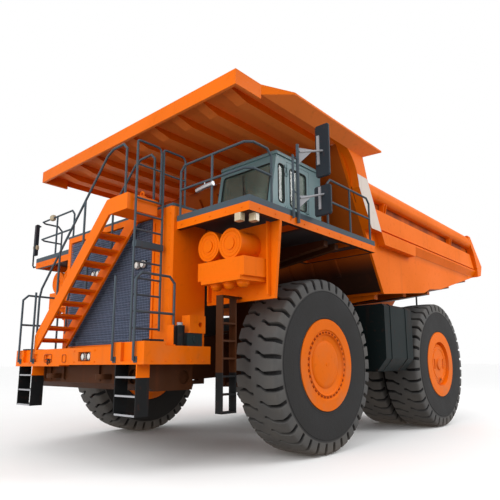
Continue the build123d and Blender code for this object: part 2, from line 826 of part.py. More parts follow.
# Panes: each fills its window but for a seat gap, with corners to match
def cab_glass():
    t, gap, r = glass_thickness, seat_gap, glass_corner - seat_gap
    x0, x1 = cab_right_x + glass_side_inset + gap, cab_left_x - glass_side_inset - gap
    z0, z1 = glass_low_z + gap, glass_high_z - gap
    screen = side_slab([(cab_front_at(z0) + 24, z0), (cab_front_at(z1) + 24, z1),
                        (cab_front_at(z1) + 24 + t, z1), (cab_front_at(z0) + 24 + t, z0)], (x0, x1))
    panes = screen & pane((x0, x1), (cab_front_foot_y - 200, cab_front_top_y + 200), (z0, z1), Axis.Y, r)
    panes += pane((cab_right_x + rear_glass_inset + gap, cab_left_x - rear_glass_inset - gap),
                  (cab_rear_y - 36, cab_rear_y - 36 + t), (glass_low_z + 200 + gap, z1), Axis.Y, r)
    panes += pane((cab_right_x + 24, cab_right_x + 24 + t),
                  (right_glass_y[0] + gap, right_glass_y[1] - gap),
                  (z0, z1), Axis.X, r)
    panes += pane((cab_left_x - 36, cab_left_x - 36 + t),
                  (quarter_glass_y[0] + gap, quarter_glass_y[1] - gap),
                  (quarter_glass_z + gap, z1), Axis.X, r)
    return panes


def cab_door():
    x = (cab_left_x - cab_wall, cab_left_x)
    door = block(x, (door_front_y, door_front_y + door_width), (door_low_z, door_high_z))
    door -= pane((x[0] - 1, x[1] + 1), (door_front_y + door_frame, door_front_y + door_width - door_frame),
                 (door_glass_low_z, door_high_z - door_frame), Axis.X, glass_corner)
    # lower panel stands proud
    door += pane((cab_left_x - 1, cab_left_x + 12),
                 (door_front_y + door_frame, door_front_y + door_width - door_frame),
                 (door_low_z + 60, door_glass_low_z - 80), Axis.X, glass_corner)
    pin_x, pin_y = cab_left_x + door_hinge_out, door_front_y - moving_gap / 2
    for z in (door_low_z + door_hinge_inset, door_high_z - door_hinge_inset):
        low, high = z - door_hinge_half, z + door_hinge_half
        door += bar((pin_x, pin_y, low), (pin_x, pin_y, high), door_hinge_out - 0.5)
        door += block((cab_left_x - 1, pin_x), (door_front_y, door_front_y + door_hinge_leaf), (low, high))
    # pull handle: a bar on two feet
    handle_y = door_front_y + door_width - 75
    door += pipe([(cab_left_x - 1, handle_y, 4950), (cab_left_x + 45, handle_y, 4950),
                  (cab_left_x + 45, handle_y, 5250), (cab_left_x - 1, handle_y, 5250)], 12)
    return door


def door_glass():
    gap = door_frame + seat_gap
    return pane((cab_left_x - 36, cab_left_x - 36 + glass_thickness),
                (door_front_y + gap, door_front_y + door_width - gap),
                (door_glass_low_z + seat_gap, door_high_z - gap), Axis.X, glass_corner - seat_gap)


# Seat: pedestal, cushion, leaning back, head rest and arm rests
def operator_seat():
    z, y = cab_foot_z + cab_floor_thickness + seat_gap, 0
    x = seat_x
    seat = block((x - 180, x + 180), (y - 200, y + 200), (z, z + 330))
    seat += side_slab([(y - 290, z + 330), (y + 250, z + 320), (y + 260, z + 430), (y - 250, z + 460),
                       (y - 290, z + 420)], (x - 260, x + 260))
    back = front_slab([(x - 240, z + 430), (x + 240, z + 430), (x + 240, z + 820), (x + 170, z + 980),
                       (x + 140, z + seat_height), (x - 140, z + seat_height), (x - 170, z + 980),
                       (x - 240, z + 820)], (y + 100, y + 500))
    seat += back & side_slab([(y + 170, z + 420), (y + 300, z + 420), (y + 420, z + seat_height),
                              (y + 320, z + seat_height)], (x - 250, x + 250))
    for side in (-1, 1):
        arm = x + side * 290
        seat += block((arm - 35, arm + 35), (y - 150, y + 260), (z + 620, z + 680))
        seat += block((min(arm, x + side * 230), max(arm, x + side * 230)), (y + 200, y + 260),
                      (z + 640, z + 680))
    return seat


def steering_console():
    z = cab_foot_z + cab_floor_thickness + seat_gap
    dash = side_slab([(-1050, z), (-750, z), (-760, z + 420), (-640, z + 700), (-680, z + 740),
                      (-1000, z + 760)],
                     (cab_right_x + 130, cab_left_x - 130))
    dash += bar((seat_x, -760, z + 500), (seat_x, -500, z + 800), 35)
    wheel = Plane(origin=(seat_x, -500, z + 800), z_dir=(0, 260, 300))
    rim = extrude(wheel * (Circle(steering_wheel_radius) - Circle(steering_wheel_radius - 35)), 30,
                  both=True)
    spokes = extrude(wheel * (Rectangle(2 * steering_wheel_radius - 20, 45) + Circle(60)), 10, both=True)
    return dash + rim + spokes


# Mirrors: on the left two shells on arms from a post, on the right a frame with a tall shell
def mirrors():
    post_x, post_y = deck_x + 30 + seat_gap, mirror_post_y
    left = bar((post_x, post_y, 4240), (post_x, post_y, 5750), 30)
    # arms: height at the post, height at the shell; brackets: x and z each way
    for z, reach in ((5600, 5750), (4700, 4880)):
        left += pipe([(post_x, post_y, z), (3960, mirror_y - 30, reach)], 20)
    for x0, x1, z0, z1 in ((3840, 3900, 5480, 6070), (3855, 3905, 4590, 5030)):
        left += block((x0, x1), (mirror_y - 70, mirror_y - 44), (z0, z1))
    for x0, x1, z0, z1 in ((330, 20, 5230, 6290), (380, 10, 4470, 5060)):
        shell = pane((mirror_left_x - x0, mirror_left_x - x1), (mirror_y - 45, mirror_y), (z0, z1), Axis.Y,
                     50)
        left += chamfer(shell.edges().group_by(Axis.Y)[0], 15)
    x0, x1, y = -deck_x - seat_gap, -3990, deck_front_y + 40
    rail_side = -deck_x + 40 - pipe_radius - seat_gap
    right = pipe([(x0, y, 4260), (x1, y, 4260), (x1, y, 5330), (rail_side, y, 5330)], 20, bend=60)
    right += pane((-3900, -3810), (y - 60, y + 30), (4560, 5400), Axis.X, 30)
    right += bar((x1, y, 5000), (-3850, y, 5000), 15)
    return left + right


# Lamps: pairs before the grille, in the bumper, under the left deck and at the right deck's corner
def lamps():
    group = []
    y = housing_front_y
    for x in (-560, 1010):
        for dx in (-90, 90):
            group.append(bar((x + dx, y - 60, 3630), (x + dx, y + 24.7, 3630), 75))
        group.append(block((x - 170, x + 170), (y - 20, y + 24.7), (3560, 3700)))
    recess_back = bumper_front_y + 120 - seat_gap
    for x in (405, 615):
        group.append(bar((x, bumper_front_y + 30, 1885), (x, recess_back, 1885), 70))
    group.append(block((330, 690), (bumper_front_y + 90, recess_back), (1815, 1955)))
    for x, y in ((3450, deck_front_y + 60), (3620, deck_front_y + 230)):
        group.append(pane((x - 75, x + 75), (y - 60, y + 60), (4060, deck_low_z - seat_gap), Axis.Z, 25))
    return fused(group)


def control_cabinet():
    foot = deck_edge_z + deck_plate + seat_gap
    x = (-3450, -2100)
    box = block(x, (-1300, 1050), (foot, foot + cabinet_height))
    box = chamfer(box.edges().filter_by(Axis.Y).group_by(Axis.Z)[-1], 120)
    # two doors on its front, vent hoods on its outer side
    for x0, x1 in ((-3400, -2790), (-2760, -2150)):
        box += pane((x0, x1), (-1330, -1299), (foot + 80, foot + cabinet_height - 170), Axis.Y, 30)
    for y in (-900, -250, 400):
        for z in range(4):
            low = foot + 250 + z * 130
            box += front_slab([(x[0] - 35, low), (x[0] + 1, low), (x[0] + 1, low + 90)], (y, y + 450))
    return box


# Tanks: hung beside the rails between the axles, with a band round each
def tank(x_far):
    x0 = rail_x + rail_width / 2 + seat_gap
    outline = [
        (x0 + 120, tank_low_z), (x_far - 250, tank_low_z), (x_far, tank_low_z + 300),
        (x_far, tank_high_z - 60),
        (x_far - 60, tank_high_z), (x0 + 120, tank_high_z),
    ]
    shell = front_slab(outline, (tank_front_y, tank_rear_y))
    band = [(x0 + 120, tank_low_z - 12), (x_far - 255, tank_low_z - 12), (x_far + 12, tank_low_z + 295),
            (x_far + 12, tank_high_z - 55), (x_far - 55, tank_high_z + 12), (x0 + 120, tank_high_z + 12)]
    for share in (0.22, 0.78):
        y = along(tank_front_y, tank_rear_y, share)
        shell += front_slab(band, (y - 40, y + 40))
    for z in (1800, 2300):
        shell += block((x0, x0 + 140), (tank_front_y + 200, tank_rear_y - 200), (z, z + 160))
    return shell


# Rear axle: banjo housing, spindles, the nose towards the frame, link ears and the tow eye
def rear_axle():
    half = dual_outer_x - dual_spacing - tyre_width / 2 - 60
    outline = [(0, axle_housing_radius + 60), (300, axle_housing_radius + 60),
               (620, axle_housing_radius - 60),
               (half, axle_housing_radius - 60), (half, spindle_radius - 1), (0, spindle_radius - 1)]
    axle = both_sides(wheel_ring(outline, wheelbase))
    end = dual_outer_x - 100
    axle += bar((-end, wheelbase, axle_z), (end, wheelbase, axle_z), spindle_radius)
    nose_y = wheelbase - 1270 + seat_gap
    axle += side_slab([(nose_y, 1600), (wheelbase - 350, 1350), (wheelbase - 350, 2100), (nose_y, 2000)],
                      (-420, 420))
    axle += both_sides(block((380, 520), (wheelbase + 300, wheelbase + 760), (1500, 1800)))
    low, high = axle_z - rear_tow_height / 2, axle_z + rear_tow_height / 2
    axle += bar((0, rear_tow_y, low), (0, rear_tow_y, high), rear_tow_radius)
    axle += block((-rear_tow_radius, rear_tow_radius), (wheelbase + 400, rear_tow_y), (low, high))
    return axle - bar((0, rear_tow_y, low - 1), (0, rear_tow_y, high + 1), rear_tow_bore_radius)


# Suspension: front struts with their kingpins, boots, lower arms hung below the rails, and rear struts
def suspension_struts():
    struts = both_sides(
        bar((kingpin_x, 0, knuckle_high_z + seat_gap), (kingpin_x, 0, 3420), strut_radius)
        + bar((kingpin_x, 0, knuckle_high_z + seat_gap), (kingpin_x, 0, 2480), strut_boot_radius)
        + bar((kingpin_x, 0, arm_low_z - 10), (kingpin_x, 0, knuckle_high_z + 1), kingpin_radius)
        + bar((kingpin_x, 0, arm_low_z - 10), (kingpin_x, 0, knuckle_low_z - seat_gap), 150)
    )
    near, far = rail_x, rail_x + rail_width / 2
    arm = plan_slab([(near, -arm_half_length), (near, arm_half_length), (kingpin_x - 100, 110),
                     (kingpin_x - 100, -110)], (arm_low_z, arm_low_z + arm_thickness))
    for y0 in (-arm_half_length, arm_half_length - hanger_length):
        y1 = y0 + hanger_length
        arm += side_slab([(y0, arm_low_z), (y1, arm_low_z), (y1, rail_bottom(y1) - seat_gap),
                          (y0, rail_bottom(y0) - seat_gap)], (near, far))
    struts += both_sides(arm)
    rear_y = wheelbase + 650
    rear = bar((450, rear_y, 1800 + seat_gap), (450, rear_y, 2520 - seat_gap), 90)
    rear += bar((450, rear_y, 2100), (450, rear_y, 2520 - seat_gap), 120)
    return struts + both_sides(rear)


def knuckle():
    body = bar((kingpin_x, 0, knuckle_low_z), (kingpin_x, 0, knuckle_high_z), knuckle_radius)
    body += bar((kingpin_x, 0, axle_z), (front_wheel_x + 250, 0, axle_z), spindle_radius)
    body += bar((kingpin_x + 150, 0, axle_z), (kingpin_x + 230, 0, axle_z), 330)
    body += plan_slab(
        [(kingpin_x - 120, 60), (kingpin_x + 120, 60), (kingpin_x + 80, tie_rod_y + 80),
         (kingpin_x - 80, tie_rod_y + 80)],
        (tie_rod_z - 70, tie_rod_z + 70),
    )
    body -= bar((kingpin_x, 0, knuckle_low_z - 100), (kingpin_x, 0, knuckle_high_z + 100),
                kingpin_radius + pin_gap)
    # fork and pin for the tie rod's eye
    half = tie_rod_radius + moving_gap
    body -= block((kingpin_x - 200, kingpin_x + 200), (tie_rod_y - 140, tie_rod_y + 200),
                  (tie_rod_z - half, tie_rod_z + half))
    return body + bar((kingpin_x, tie_rod_y, tie_rod_z - 69), (kingpin_x, tie_rod_y, tie_rod_z + 69),
                      steering_pin_radius)


def tie_rod():
    low, high = tie_rod_z - tie_rod_radius, tie_rod_z + tie_rod_radius
    rod = bar((-kingpin_x, tie_rod_y, tie_rod_z), (kingpin_x, tie_rod_y, tie_rod_z), tie_rod_radius - 2)
    rod += both_sides(bar((kingpin_x, tie_rod_y, low), (kingpin_x, tie_rod_y, high), tie_rod_eye))
    return rod - both_sides(bar((kingpin_x, tie_rod_y, low - 5), (kingpin_x, tie_rod_y, high + 5),
                                steering_pin_radius + pin_gap))


# Rims: turned profiles of x and radius, counted from the wheel's middle
def front_rim():
    half = tyre_width / 2 - bead_inset
    bead, flange = tyre_bead_radius - 0.5, flange_radius
    hole = spindle_radius + pin_gap
    outline = [
        (half, flange), (half, 690), (half - 20, 670), (half - 20, 600), (half - 40, 575), (half - 60, 480),
        (half - 65, 0), (250.3, 0), (250.3, hole), (-50, hole), (-50, bead - 60), (-half, bead - 60),
        (-half, flange), (flange_thickness - half, flange), (flange_thickness - half, bead),
        (half - flange_thickness, bead), (half - flange_thickness, flange),
    ]
    return Pos(front_wheel_x, 0, 0) * wheel_ring(outline, 0)


def rear_rims():
    half = tyre_width / 2 - bead_inset
    bead, flange = tyre_bead_radius - 0.5, flange_radius
    hole, gap = spindle_radius + pin_gap, dual_spacing
    outline = [
        (half, flange), (half, rear_recess_radius + 20), (half - 120, rear_recess_radius),
        (half - 120, 560),
        (half - rear_recess_depth, 540), (half - rear_recess_depth, rear_boss_radius),
        (half - 20, rear_boss_radius - 10), (half - 20, 0), (-99.7, 0), (-99.7, hole),
        (-gap - half + 400, hole), (-gap - half + 400, bead - 60), (-gap - half, bead - 60),
        (-gap - half, flange), (-gap - half + flange_thickness, flange),
        (-gap - half + flange_thickness, bead),
        (-gap + half - flange_thickness, bead), (-gap + half - flange_thickness, flange),
        (-gap + half, flange),
        (-gap + half, bead), (-half, bead), (-half, flange), (-half + flange_thickness, flange),
        (-half + flange_thickness, bead), (half - flange_thickness, bead),
        (half - flange_thickness, flange),
    ]
    rims = Pos(dual_outer_x, 0, 0) * wheel_ring(outline, wheelbase)
    # two upright slots in the hub's face
    face_x = dual_outer_x + half - rear_recess_depth
    for y in (-300, 300):
        rims -= block((face_x - 60, face_x + 10), (wheelbase + y - 35, wheelbase + y + 35),
                      (axle_z - 140, axle_z + 140))
    return rims


# Tyre: two toothed rings half a pitch apart, dished on both sides, with a plain bead
def tyre_row(x, turn):
    pitch = 2 * math.pi / lug_count
    # lugs and grooves are equally wide, so the rings meet edge to edge in the middle
    half = pitch / 4
    tip = tyre_radius / math.cos(half)
    points = []
    for i in range(lug_count):
        a = (i + turn) * pitch
        for angle, r in ((a - half, tip), (a + half, tip), (a + pitch / 2, tyre_radius - lug_depth)):
            points.append((r * math.sin(angle), axle_z + r * math.cos(angle)))
    return side_slab(points, x)


def facet_ring(x, radius):
    # corners of an evenly sided outline whose sides lie at the radius
    step = 2 * math.pi / sidewall_facets
    corner = radius / math.cos(step / 2)
    return [Vector(x, corner * math.sin((i + 0.5) * step), axle_z + corner * math.cos((i + 0.5) * step))
            for i in range(sidewall_facets)]


def tyre(x, y):
    half = tyre_width / 2
    flange_x = half - bead_inset - flange_thickness - 0.5
    solid = tyre_row((0, half), 0) + tyre_row((-half, 0), 0.5)
    # the dish runs on a little past the shoulder, along its own slope
    slope = (sidewall_radius - flange_radius - 1) / (half - flange_x)
    for side in (1, -1):
        dish = ConvexPolyhedron(facet_ring(side * flange_x, flange_radius + 1)
                                + facet_ring(side * (half + 1), sidewall_radius + slope), align=Align.NONE)
        solid -= dish
    bore = ConvexPolyhedron(facet_ring(-half, tyre_bead_radius) + facet_ring(half, tyre_bead_radius),
                            align=Align.NONE)
    return Pos(x, y, 0) * (solid - bore)


# Bed
def floor_line(y):
    # height of the floor's underside
    if y < floor_break_y:
        return line_at(y, (head_foot_y, head_foot_z), (floor_break_y, floor_break_z))
    return line_at(y, (floor_break_y, floor_break_z), (floor_tail_y, floor_tail_z))


def bed_floor():
    low = [(head_foot_y, head_foot_z), (floor_break_y, floor_break_z), (floor_tail_y, floor_tail_z)]
    outline = low + [(y, z + floor_plate) for y, z in reversed(low)]
    floor = side_slab(outline, (-floor_half_x, floor_half_x))
    # bolsters between and outside the stringers, tapered towards the sides
    near, far = stringer_x - stringer_width / 2 - seat_gap, stringer_x + stringer_width / 2 + seat_gap
    for i in range(bolster_count):
        y = along(head_foot_y + 150, floor_tail_y - 250, i / (bolster_count - 1))
        z = floor_line(y)
        floor += block((-near, near), (y - 90, y + 90), (z - bolster_depth, z + 40))
        arm = [(far, z - bolster_depth), (far + 900, z - bolster_depth), (floor_half_x - 150, z - 120),
               (floor_half_x - 150, z + 40), (far, z + 40)]
        floor += both_sides(front_slab(arm, (y - 90, y + 90)))
    # ears for the hoists
    for x in (hoist_x - hoist_eye_half - moving_gap - 40, hoist_x + hoist_eye_half + moving_gap):
        floor += both_sides(block((x, x + 40), (hoist_head_y - 110, hoist_head_y + 110),
                                  (hoist_head_z - 100, floor_line(hoist_head_y) + 30)))
    return floor


# Stringers: the two beams below the floor, with the pivot's bosses
def bed_stringers():
    front_y, rear_y = head_foot_y + 60, floor_tail_y - 900
    outline = [
        (front_y, frame_top(front_y) + stringer_rest), (pivot_y, frame_top(pivot_y) + stringer_rest),
        (pivot_y + 190, pivot_z), (rear_y, floor_line(rear_y) - 100),
        (rear_y, floor_line(rear_y) - seat_gap),
        (floor_break_y, floor_break_z - seat_gap), (front_y, floor_line(front_y) - seat_gap),
    ]
    x0, x1 = stringer_x - stringer_width / 2, stringer_x + stringer_width / 2
    beam = side_slab(outline, (x0, x1)) + bar((x0, pivot_y, pivot_z), (x1, pivot_y, pivot_z), 190)
    beam -= bar((x0 - 1, pivot_y, pivot_z), (x1 + 1, pivot_y, pivot_z), pivot_radius + pin_gap)
    return both_sides(beam)


def head_line(z):
    return line_at(z, (head_foot_z, head_foot_y), (head_top_z, head_top_y))


# Headboard: the leaning front wall of the load space
def bed_headboard():
    z1 = canopy_top_z - canopy_plate - seat_gap
    t = bed_wall / math.cos(math.atan2(head_foot_y - head_top_y, head_top_z - head_foot_z))
    y0 = head_line(head_foot_z + floor_plate)
    low = [(y, floor_line(y) + floor_plate + seat_gap) for y in (y0, y0 + t)]
    outline = low + [(head_line(z1) + t, z1), (head_line(z1), z1)]
    half = bed_half_x - bed_wall - seat_gap
    board = side_slab(outline, (-half, half))
    # stiffeners on its front
    low, high = head_foot_z + 500, canopy_top_z - canopy_lip
    stiffener = [(head_line(low) - head_rib_depth, low), (head_line(low) + 1, low),
                 (head_line(high) + 1, high),
                 (head_line(high) - head_rib_depth, high)]
    for i in range(head_rib_count):
        middle = (i - (head_rib_count - 1) / 2) * canopy_rib_pitch
        board += side_slab(stiffener, (middle - head_rib_width / 2, middle + head_rib_width / 2))
    return board


# Bed side: wall, front post and arch, top rail, band, lower rail, ledge, tail post and gussets
def bed_side():
    inner, outer = bed_half_x - bed_wall, bed_half_x
    z_top = canopy_top_z - canopy_plate - seat_gap
    post_rear_y, post_top_y = 1690, 1450
    skirt = [(head_foot_y, head_foot_z), (skirt_step_y - 200, floor_line(skirt_step_y - 200) - skirt_drop),
             (skirt_step_y + 200, floor_line(skirt_step_y + 200) + 30), (floor_break_y, floor_break_z),
             (floor_tail_y, floor_tail_z)]
    outline = skirt + [(rear_reach, tail_mid_z), (tail_top_y, top_rail_high_z),
                       (post_rear_y, top_rail_high_z),
                       (post_top_y, z_top), (head_line(z_top), z_top)]
    wall = side_slab(outline, (inner, outer))
    # the post's front edge follows the headboard, then sweeps forward under the canopy
    foot, arch_foot = (head_line(post_low_z), post_low_z), (head_line(arch_low_z), arch_low_z)
    straight = [foot, (2300, post_low_z), (post_rear_y, top_rail_high_z), (post_top_y, z_top),
                (arch_front_y, z_top)]
    edge = Polyline(*[(outer - 1, y, z) for y, z in [arch_foot] + straight])
    sweep_arc = ThreePointArc((outer - 1, *arch_foot), (outer - 1, arch_middle_y, arch_middle_z),
                              (outer - 1, arch_front_y, z_top))
    wall += extrude(make_face(edge + sweep_arc), top_rail_depth + 1, dir=(1, 0, 0))
    rail = side_slab([(post_rear_y, top_rail_high_z), (1880, top_rail_low_z),
                      (tail_top_y + 450, top_rail_low_z),
                      (tail_top_y, top_rail_high_z)], (outer - 1, post_x))
    wall += fillet(rail.edges().filter_by(Axis.Y).group_by(Axis.X)[-1], top_rail_round)
    wall += side_slab([(1990, band_high_z), (2230, band_low_z), (tail_top_y + 420, band_low_z),
                       (tail_top_y + 70, band_high_z)], (outer - 1, outer + band_depth))
    wall += side_slab([(2290, low_rail_high_z), (2470, low_rail_low_z), (low_rail_rear_y, low_rail_low_z),
                       (low_rail_rear_y + 50, low_rail_high_z)], (outer - 1, outer + low_rail_depth))
    # ledge behind the lower rail, tail post and the gussets between band and top rail
    wall += front_slab([(outer - 1, ledge_z - ledge_root), (outer + ledge_depth, ledge_z - ledge_thickness),
                        (outer + ledge_depth, ledge_z), (outer - 1, ledge_z)],
                        (low_rail_rear_y - 40, floor_tail_y - 340))
    wall += side_slab([(tail_top_y - 250, top_rail_high_z), (tail_top_y, top_rail_high_z),
                       (rear_reach, tail_mid_z),
                       (floor_tail_y, floor_tail_z), (floor_tail_y - 330, floor_line(floor_tail_y - 330)),
                       (floor_tail_y - 330, band_low_z), (tail_top_y + 300, band_high_z)],
                       (outer - 1, post_x))
    for y in (head_foot_y + 10, wheelbase + 1370):
        for side in (-1, 1):
            middle = y + side * gusset_spacing / 2
            wall += front_slab([(outer - 1, band_high_z - 1), (outer + band_depth, band_high_z - 1),
                                (outer + band_depth + 40, top_rail_low_z + 1),
                                (outer - 1, top_rail_low_z + 1)],
                               (middle - 10, middle + 10))
    return wall


# Canopy: the plate over cab and decks, its front and side lips, tapered wings and ribs below
def bed_canopy():
    z1 = canopy_top_z
    z0 = z1 - canopy_plate
    x, wing_x, head_y = canopy_front_x, canopy_front_x + canopy_wing, head_line(z0)
    plate = block((-x, x), (canopy_front_y, head_y), (z0, z1))
    plate += block((-x, x), (canopy_front_y, canopy_front_y + 60), (z1 - canopy_lip, z1))
    side = block((x - 60, x), (canopy_front_y, canopy_notch_y), (z1 - canopy_lip, z1))
    wing = plan_slab([(x - 1, canopy_notch_y), (x, canopy_notch_y), (wing_x, canopy_wing_front_y),
                      (wing_x, canopy_wing_rear_y), (x, 1500), (x - 1, 1500)],
                      (z1 - canopy_wing_root - 10, z1))
    section = [(x + seat_gap, z1 - canopy_wing_root), (wing_x, z1 - canopy_wing_edge), (wing_x, z1),
               (x - 1, z1),
               (x - 1, z0 + 1), (x + seat_gap, z0 + 1)]
    wing = wing & front_slab(section, (canopy_notch_y, canopy_wing_rear_y))
    plate += both_sides(side + wing)
    for i in range(canopy_rib_count):
        middle = (i - (canopy_rib_count - 1) / 2) * canopy_rib_pitch
        rib = [(canopy_front_y + 60, z0 + 5), (canopy_front_y + 700, z0 - canopy_rib_depth),
               (head_y - 200, z0 - canopy_rib_depth), (head_y - 60, z0 + 5)]
        plate += side_slab(rib, (middle - canopy_rib_width / 2, middle + canopy_rib_width / 2))
    return plate


# Hoists
def hoist_length():
    return math.hypot(hoist_head_y - hoist_foot_y, hoist_head_z - hoist_foot_z)


def hoist_point(distance):
    foot, head = Vector(hoist_x, hoist_foot_y, hoist_foot_z), Vector(hoist_x, hoist_head_y, hoist_head_z)
    return foot + (head - foot).normalized() * distance


def hoist_barrel():
    mouth = hoist_length() - 330
    barrel = bar(hoist_point(90), hoist_point(mouth), hoist_radius)
    barrel += bar(hoist_point(mouth - 90), hoist_point(mouth), hoist_radius + 20)
    barrel += bar((hoist_x - 70, hoist_foot_y, hoist_foot_z), (hoist_x + 70, hoist_foot_y, hoist_foot_z),
                  150)
    barrel -= bar((hoist_x - 90, hoist_foot_y, hoist_foot_z), (hoist_x + 90, hoist_foot_y, hoist_foot_z),
                  hoist_pin_radius + pin_gap)
    return barrel - bar(hoist_point(200), hoist_point(mouth + 100), hoist_stage_radius + pin_gap)


def hoist_stage():
    stage = bar(hoist_point(210), hoist_point(hoist_length() - 260), hoist_stage_radius)
    return stage - bar(hoist_point(260), hoist_point(hoist_length()), hoist_rod_radius + pin_gap)


def hoist_rod():
    rod = bar(hoist_point(270), hoist_point(hoist_length() - 60), hoist_rod_radius)
    near, far = hoist_x - hoist_eye_half, hoist_x + hoist_eye_half
    return rod + bar((near, hoist_head_y, hoist_head_z), (far, hoist_head_y, hoist_head_z), 120)


pieces = {
    "main_frame": main_frame(),
    "front_box": front_box(),
    "deck_tower": deck_tower(),
    "front_bumper": front_bumper(),
    "front_ladders": front_ladders(),
    "side_ladder": side_ladder(),
    "wing_equipment": wing_equipment(),
    "grab_rails": grab_rails(),
    "radiator_housing": radiator_housing(),
    "radiator_grille": radiator_grille(),
    "engine_block": engine_block(),
    "stairway": stairway(),
    "stair_rails": stair_rails(),
    "upright_ladder": upright_ladder(),
    "side_decks": both_sides(deck(deck_inner_x)),
    "centre_deck": centre_deck(),
    "deck_rails_left": deck_rails(1),
    "deck_rails_right": deck_rails(-1),
    "air_cleaners": both_sides(air_cleaner()),
    "cab_floor": cab_floor(),
    "cab_front": cab_front(),
    "cab_rear": cab_rear(),
    "cab_side_left": cab_side_left(),
    "cab_side_right": cab_side_right(),
    "cab_roof": cab_roof(),
    "cab_glass": cab_glass(),
    "cab_door": cab_door(),
    "door_glass": door_glass(),
    "operator_seat": operator_seat(),
    "steering_console": steering_console(),
    "mirrors": mirrors(),
    "lamps": lamps(),
    "control_cabinet": control_cabinet(),
    "fuel_tank": tank(fuel_tank_x),
    "oil_tank": other_side(tank(oil_tank_x)),
    "rear_axle": rear_axle(),
    "suspension_struts": suspension_struts(),
    "knuckle_left": knuckle(),
    "knuckle_right": other_side(knuckle()),
    "tie_rod": tie_rod(),
    "rim_front_left": front_rim(),
    "tyre_front_left": tyre(front_wheel_x, 0),
    "rims_rear_left": rear_rims(),
    "tyres_rear_left": tyre(dual_outer_x, wheelbase) + tyre(dual_outer_x - dual_spacing, wheelbase),
    "bed_floor": bed_floor(),
    "bed_stringers": bed_stringers(),
    "bed_sides": both_sides(bed_side()),
    "bed_headboard": bed_headboard(),
    "bed_canopy": bed_canopy(),
    "hoist_barrel_left": hoist_barrel(),
    "hoist_stage_left": hoist_stage(),
    "hoist_rod_left": hoist_rod(),
}
for name in ("rim_front", "tyre_front", "rims_rear", "tyres_rear", "hoist_barrel", "hoist_stage",
             "hoist_rod"):
    pieces[name + "_right"] = other_side(pieces[name + "_left"])


def main():
    os.makedirs("parts", exist_ok=True)
    for name, shape in pieces.items():
        export_step(Pos(0, front_axle_y, 0) * shape, f"parts/{name}.step")


if __name__ == "__main__":
    main()
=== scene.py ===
import math
import bmesh
import bpy
import numpy as np
from mathutils import Matrix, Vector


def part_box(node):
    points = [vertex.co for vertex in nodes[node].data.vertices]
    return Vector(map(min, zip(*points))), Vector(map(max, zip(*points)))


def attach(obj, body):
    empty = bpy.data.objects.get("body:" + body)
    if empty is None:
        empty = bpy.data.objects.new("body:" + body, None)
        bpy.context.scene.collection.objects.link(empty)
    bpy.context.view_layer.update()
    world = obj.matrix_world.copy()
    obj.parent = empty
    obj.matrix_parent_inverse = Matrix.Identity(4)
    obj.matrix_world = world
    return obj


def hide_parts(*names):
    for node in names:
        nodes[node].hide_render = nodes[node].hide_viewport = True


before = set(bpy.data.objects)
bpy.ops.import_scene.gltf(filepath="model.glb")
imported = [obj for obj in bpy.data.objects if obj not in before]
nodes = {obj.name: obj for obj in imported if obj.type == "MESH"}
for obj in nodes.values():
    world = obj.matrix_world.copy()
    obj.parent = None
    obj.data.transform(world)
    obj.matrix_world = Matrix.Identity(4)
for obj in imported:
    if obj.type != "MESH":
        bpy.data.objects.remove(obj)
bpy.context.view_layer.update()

print("stage: frame loaded,", len(nodes), "nodes")


# Materials

class Wire:
    # a socket that takes part in sums, such as wire + 1, 1 - wire or wire * other
    def __init__(self, finish, socket):
        self.finish, self.socket = finish, socket

    def maths(self, operation, first, second=0.0):
        return self.finish.maths(operation, first, second)

    def __add__(self, other):
        return self.maths("ADD", self, other)

    def __sub__(self, other):
        return self.maths("SUBTRACT", self, other)

    def __rsub__(self, other):
        return self.maths("SUBTRACT", other, self)

    def __mul__(self, other):
        return self.maths("MULTIPLY", self, other)

    def __gt__(self, other):
        return self.maths("GREATER_THAN", self, other)

    def __lt__(self, other):
        return self.maths("LESS_THAN", self, other)

    def __abs__(self):
        return self.maths("ABSOLUTE", self)

    __radd__, __rmul__ = __add__, __mul__


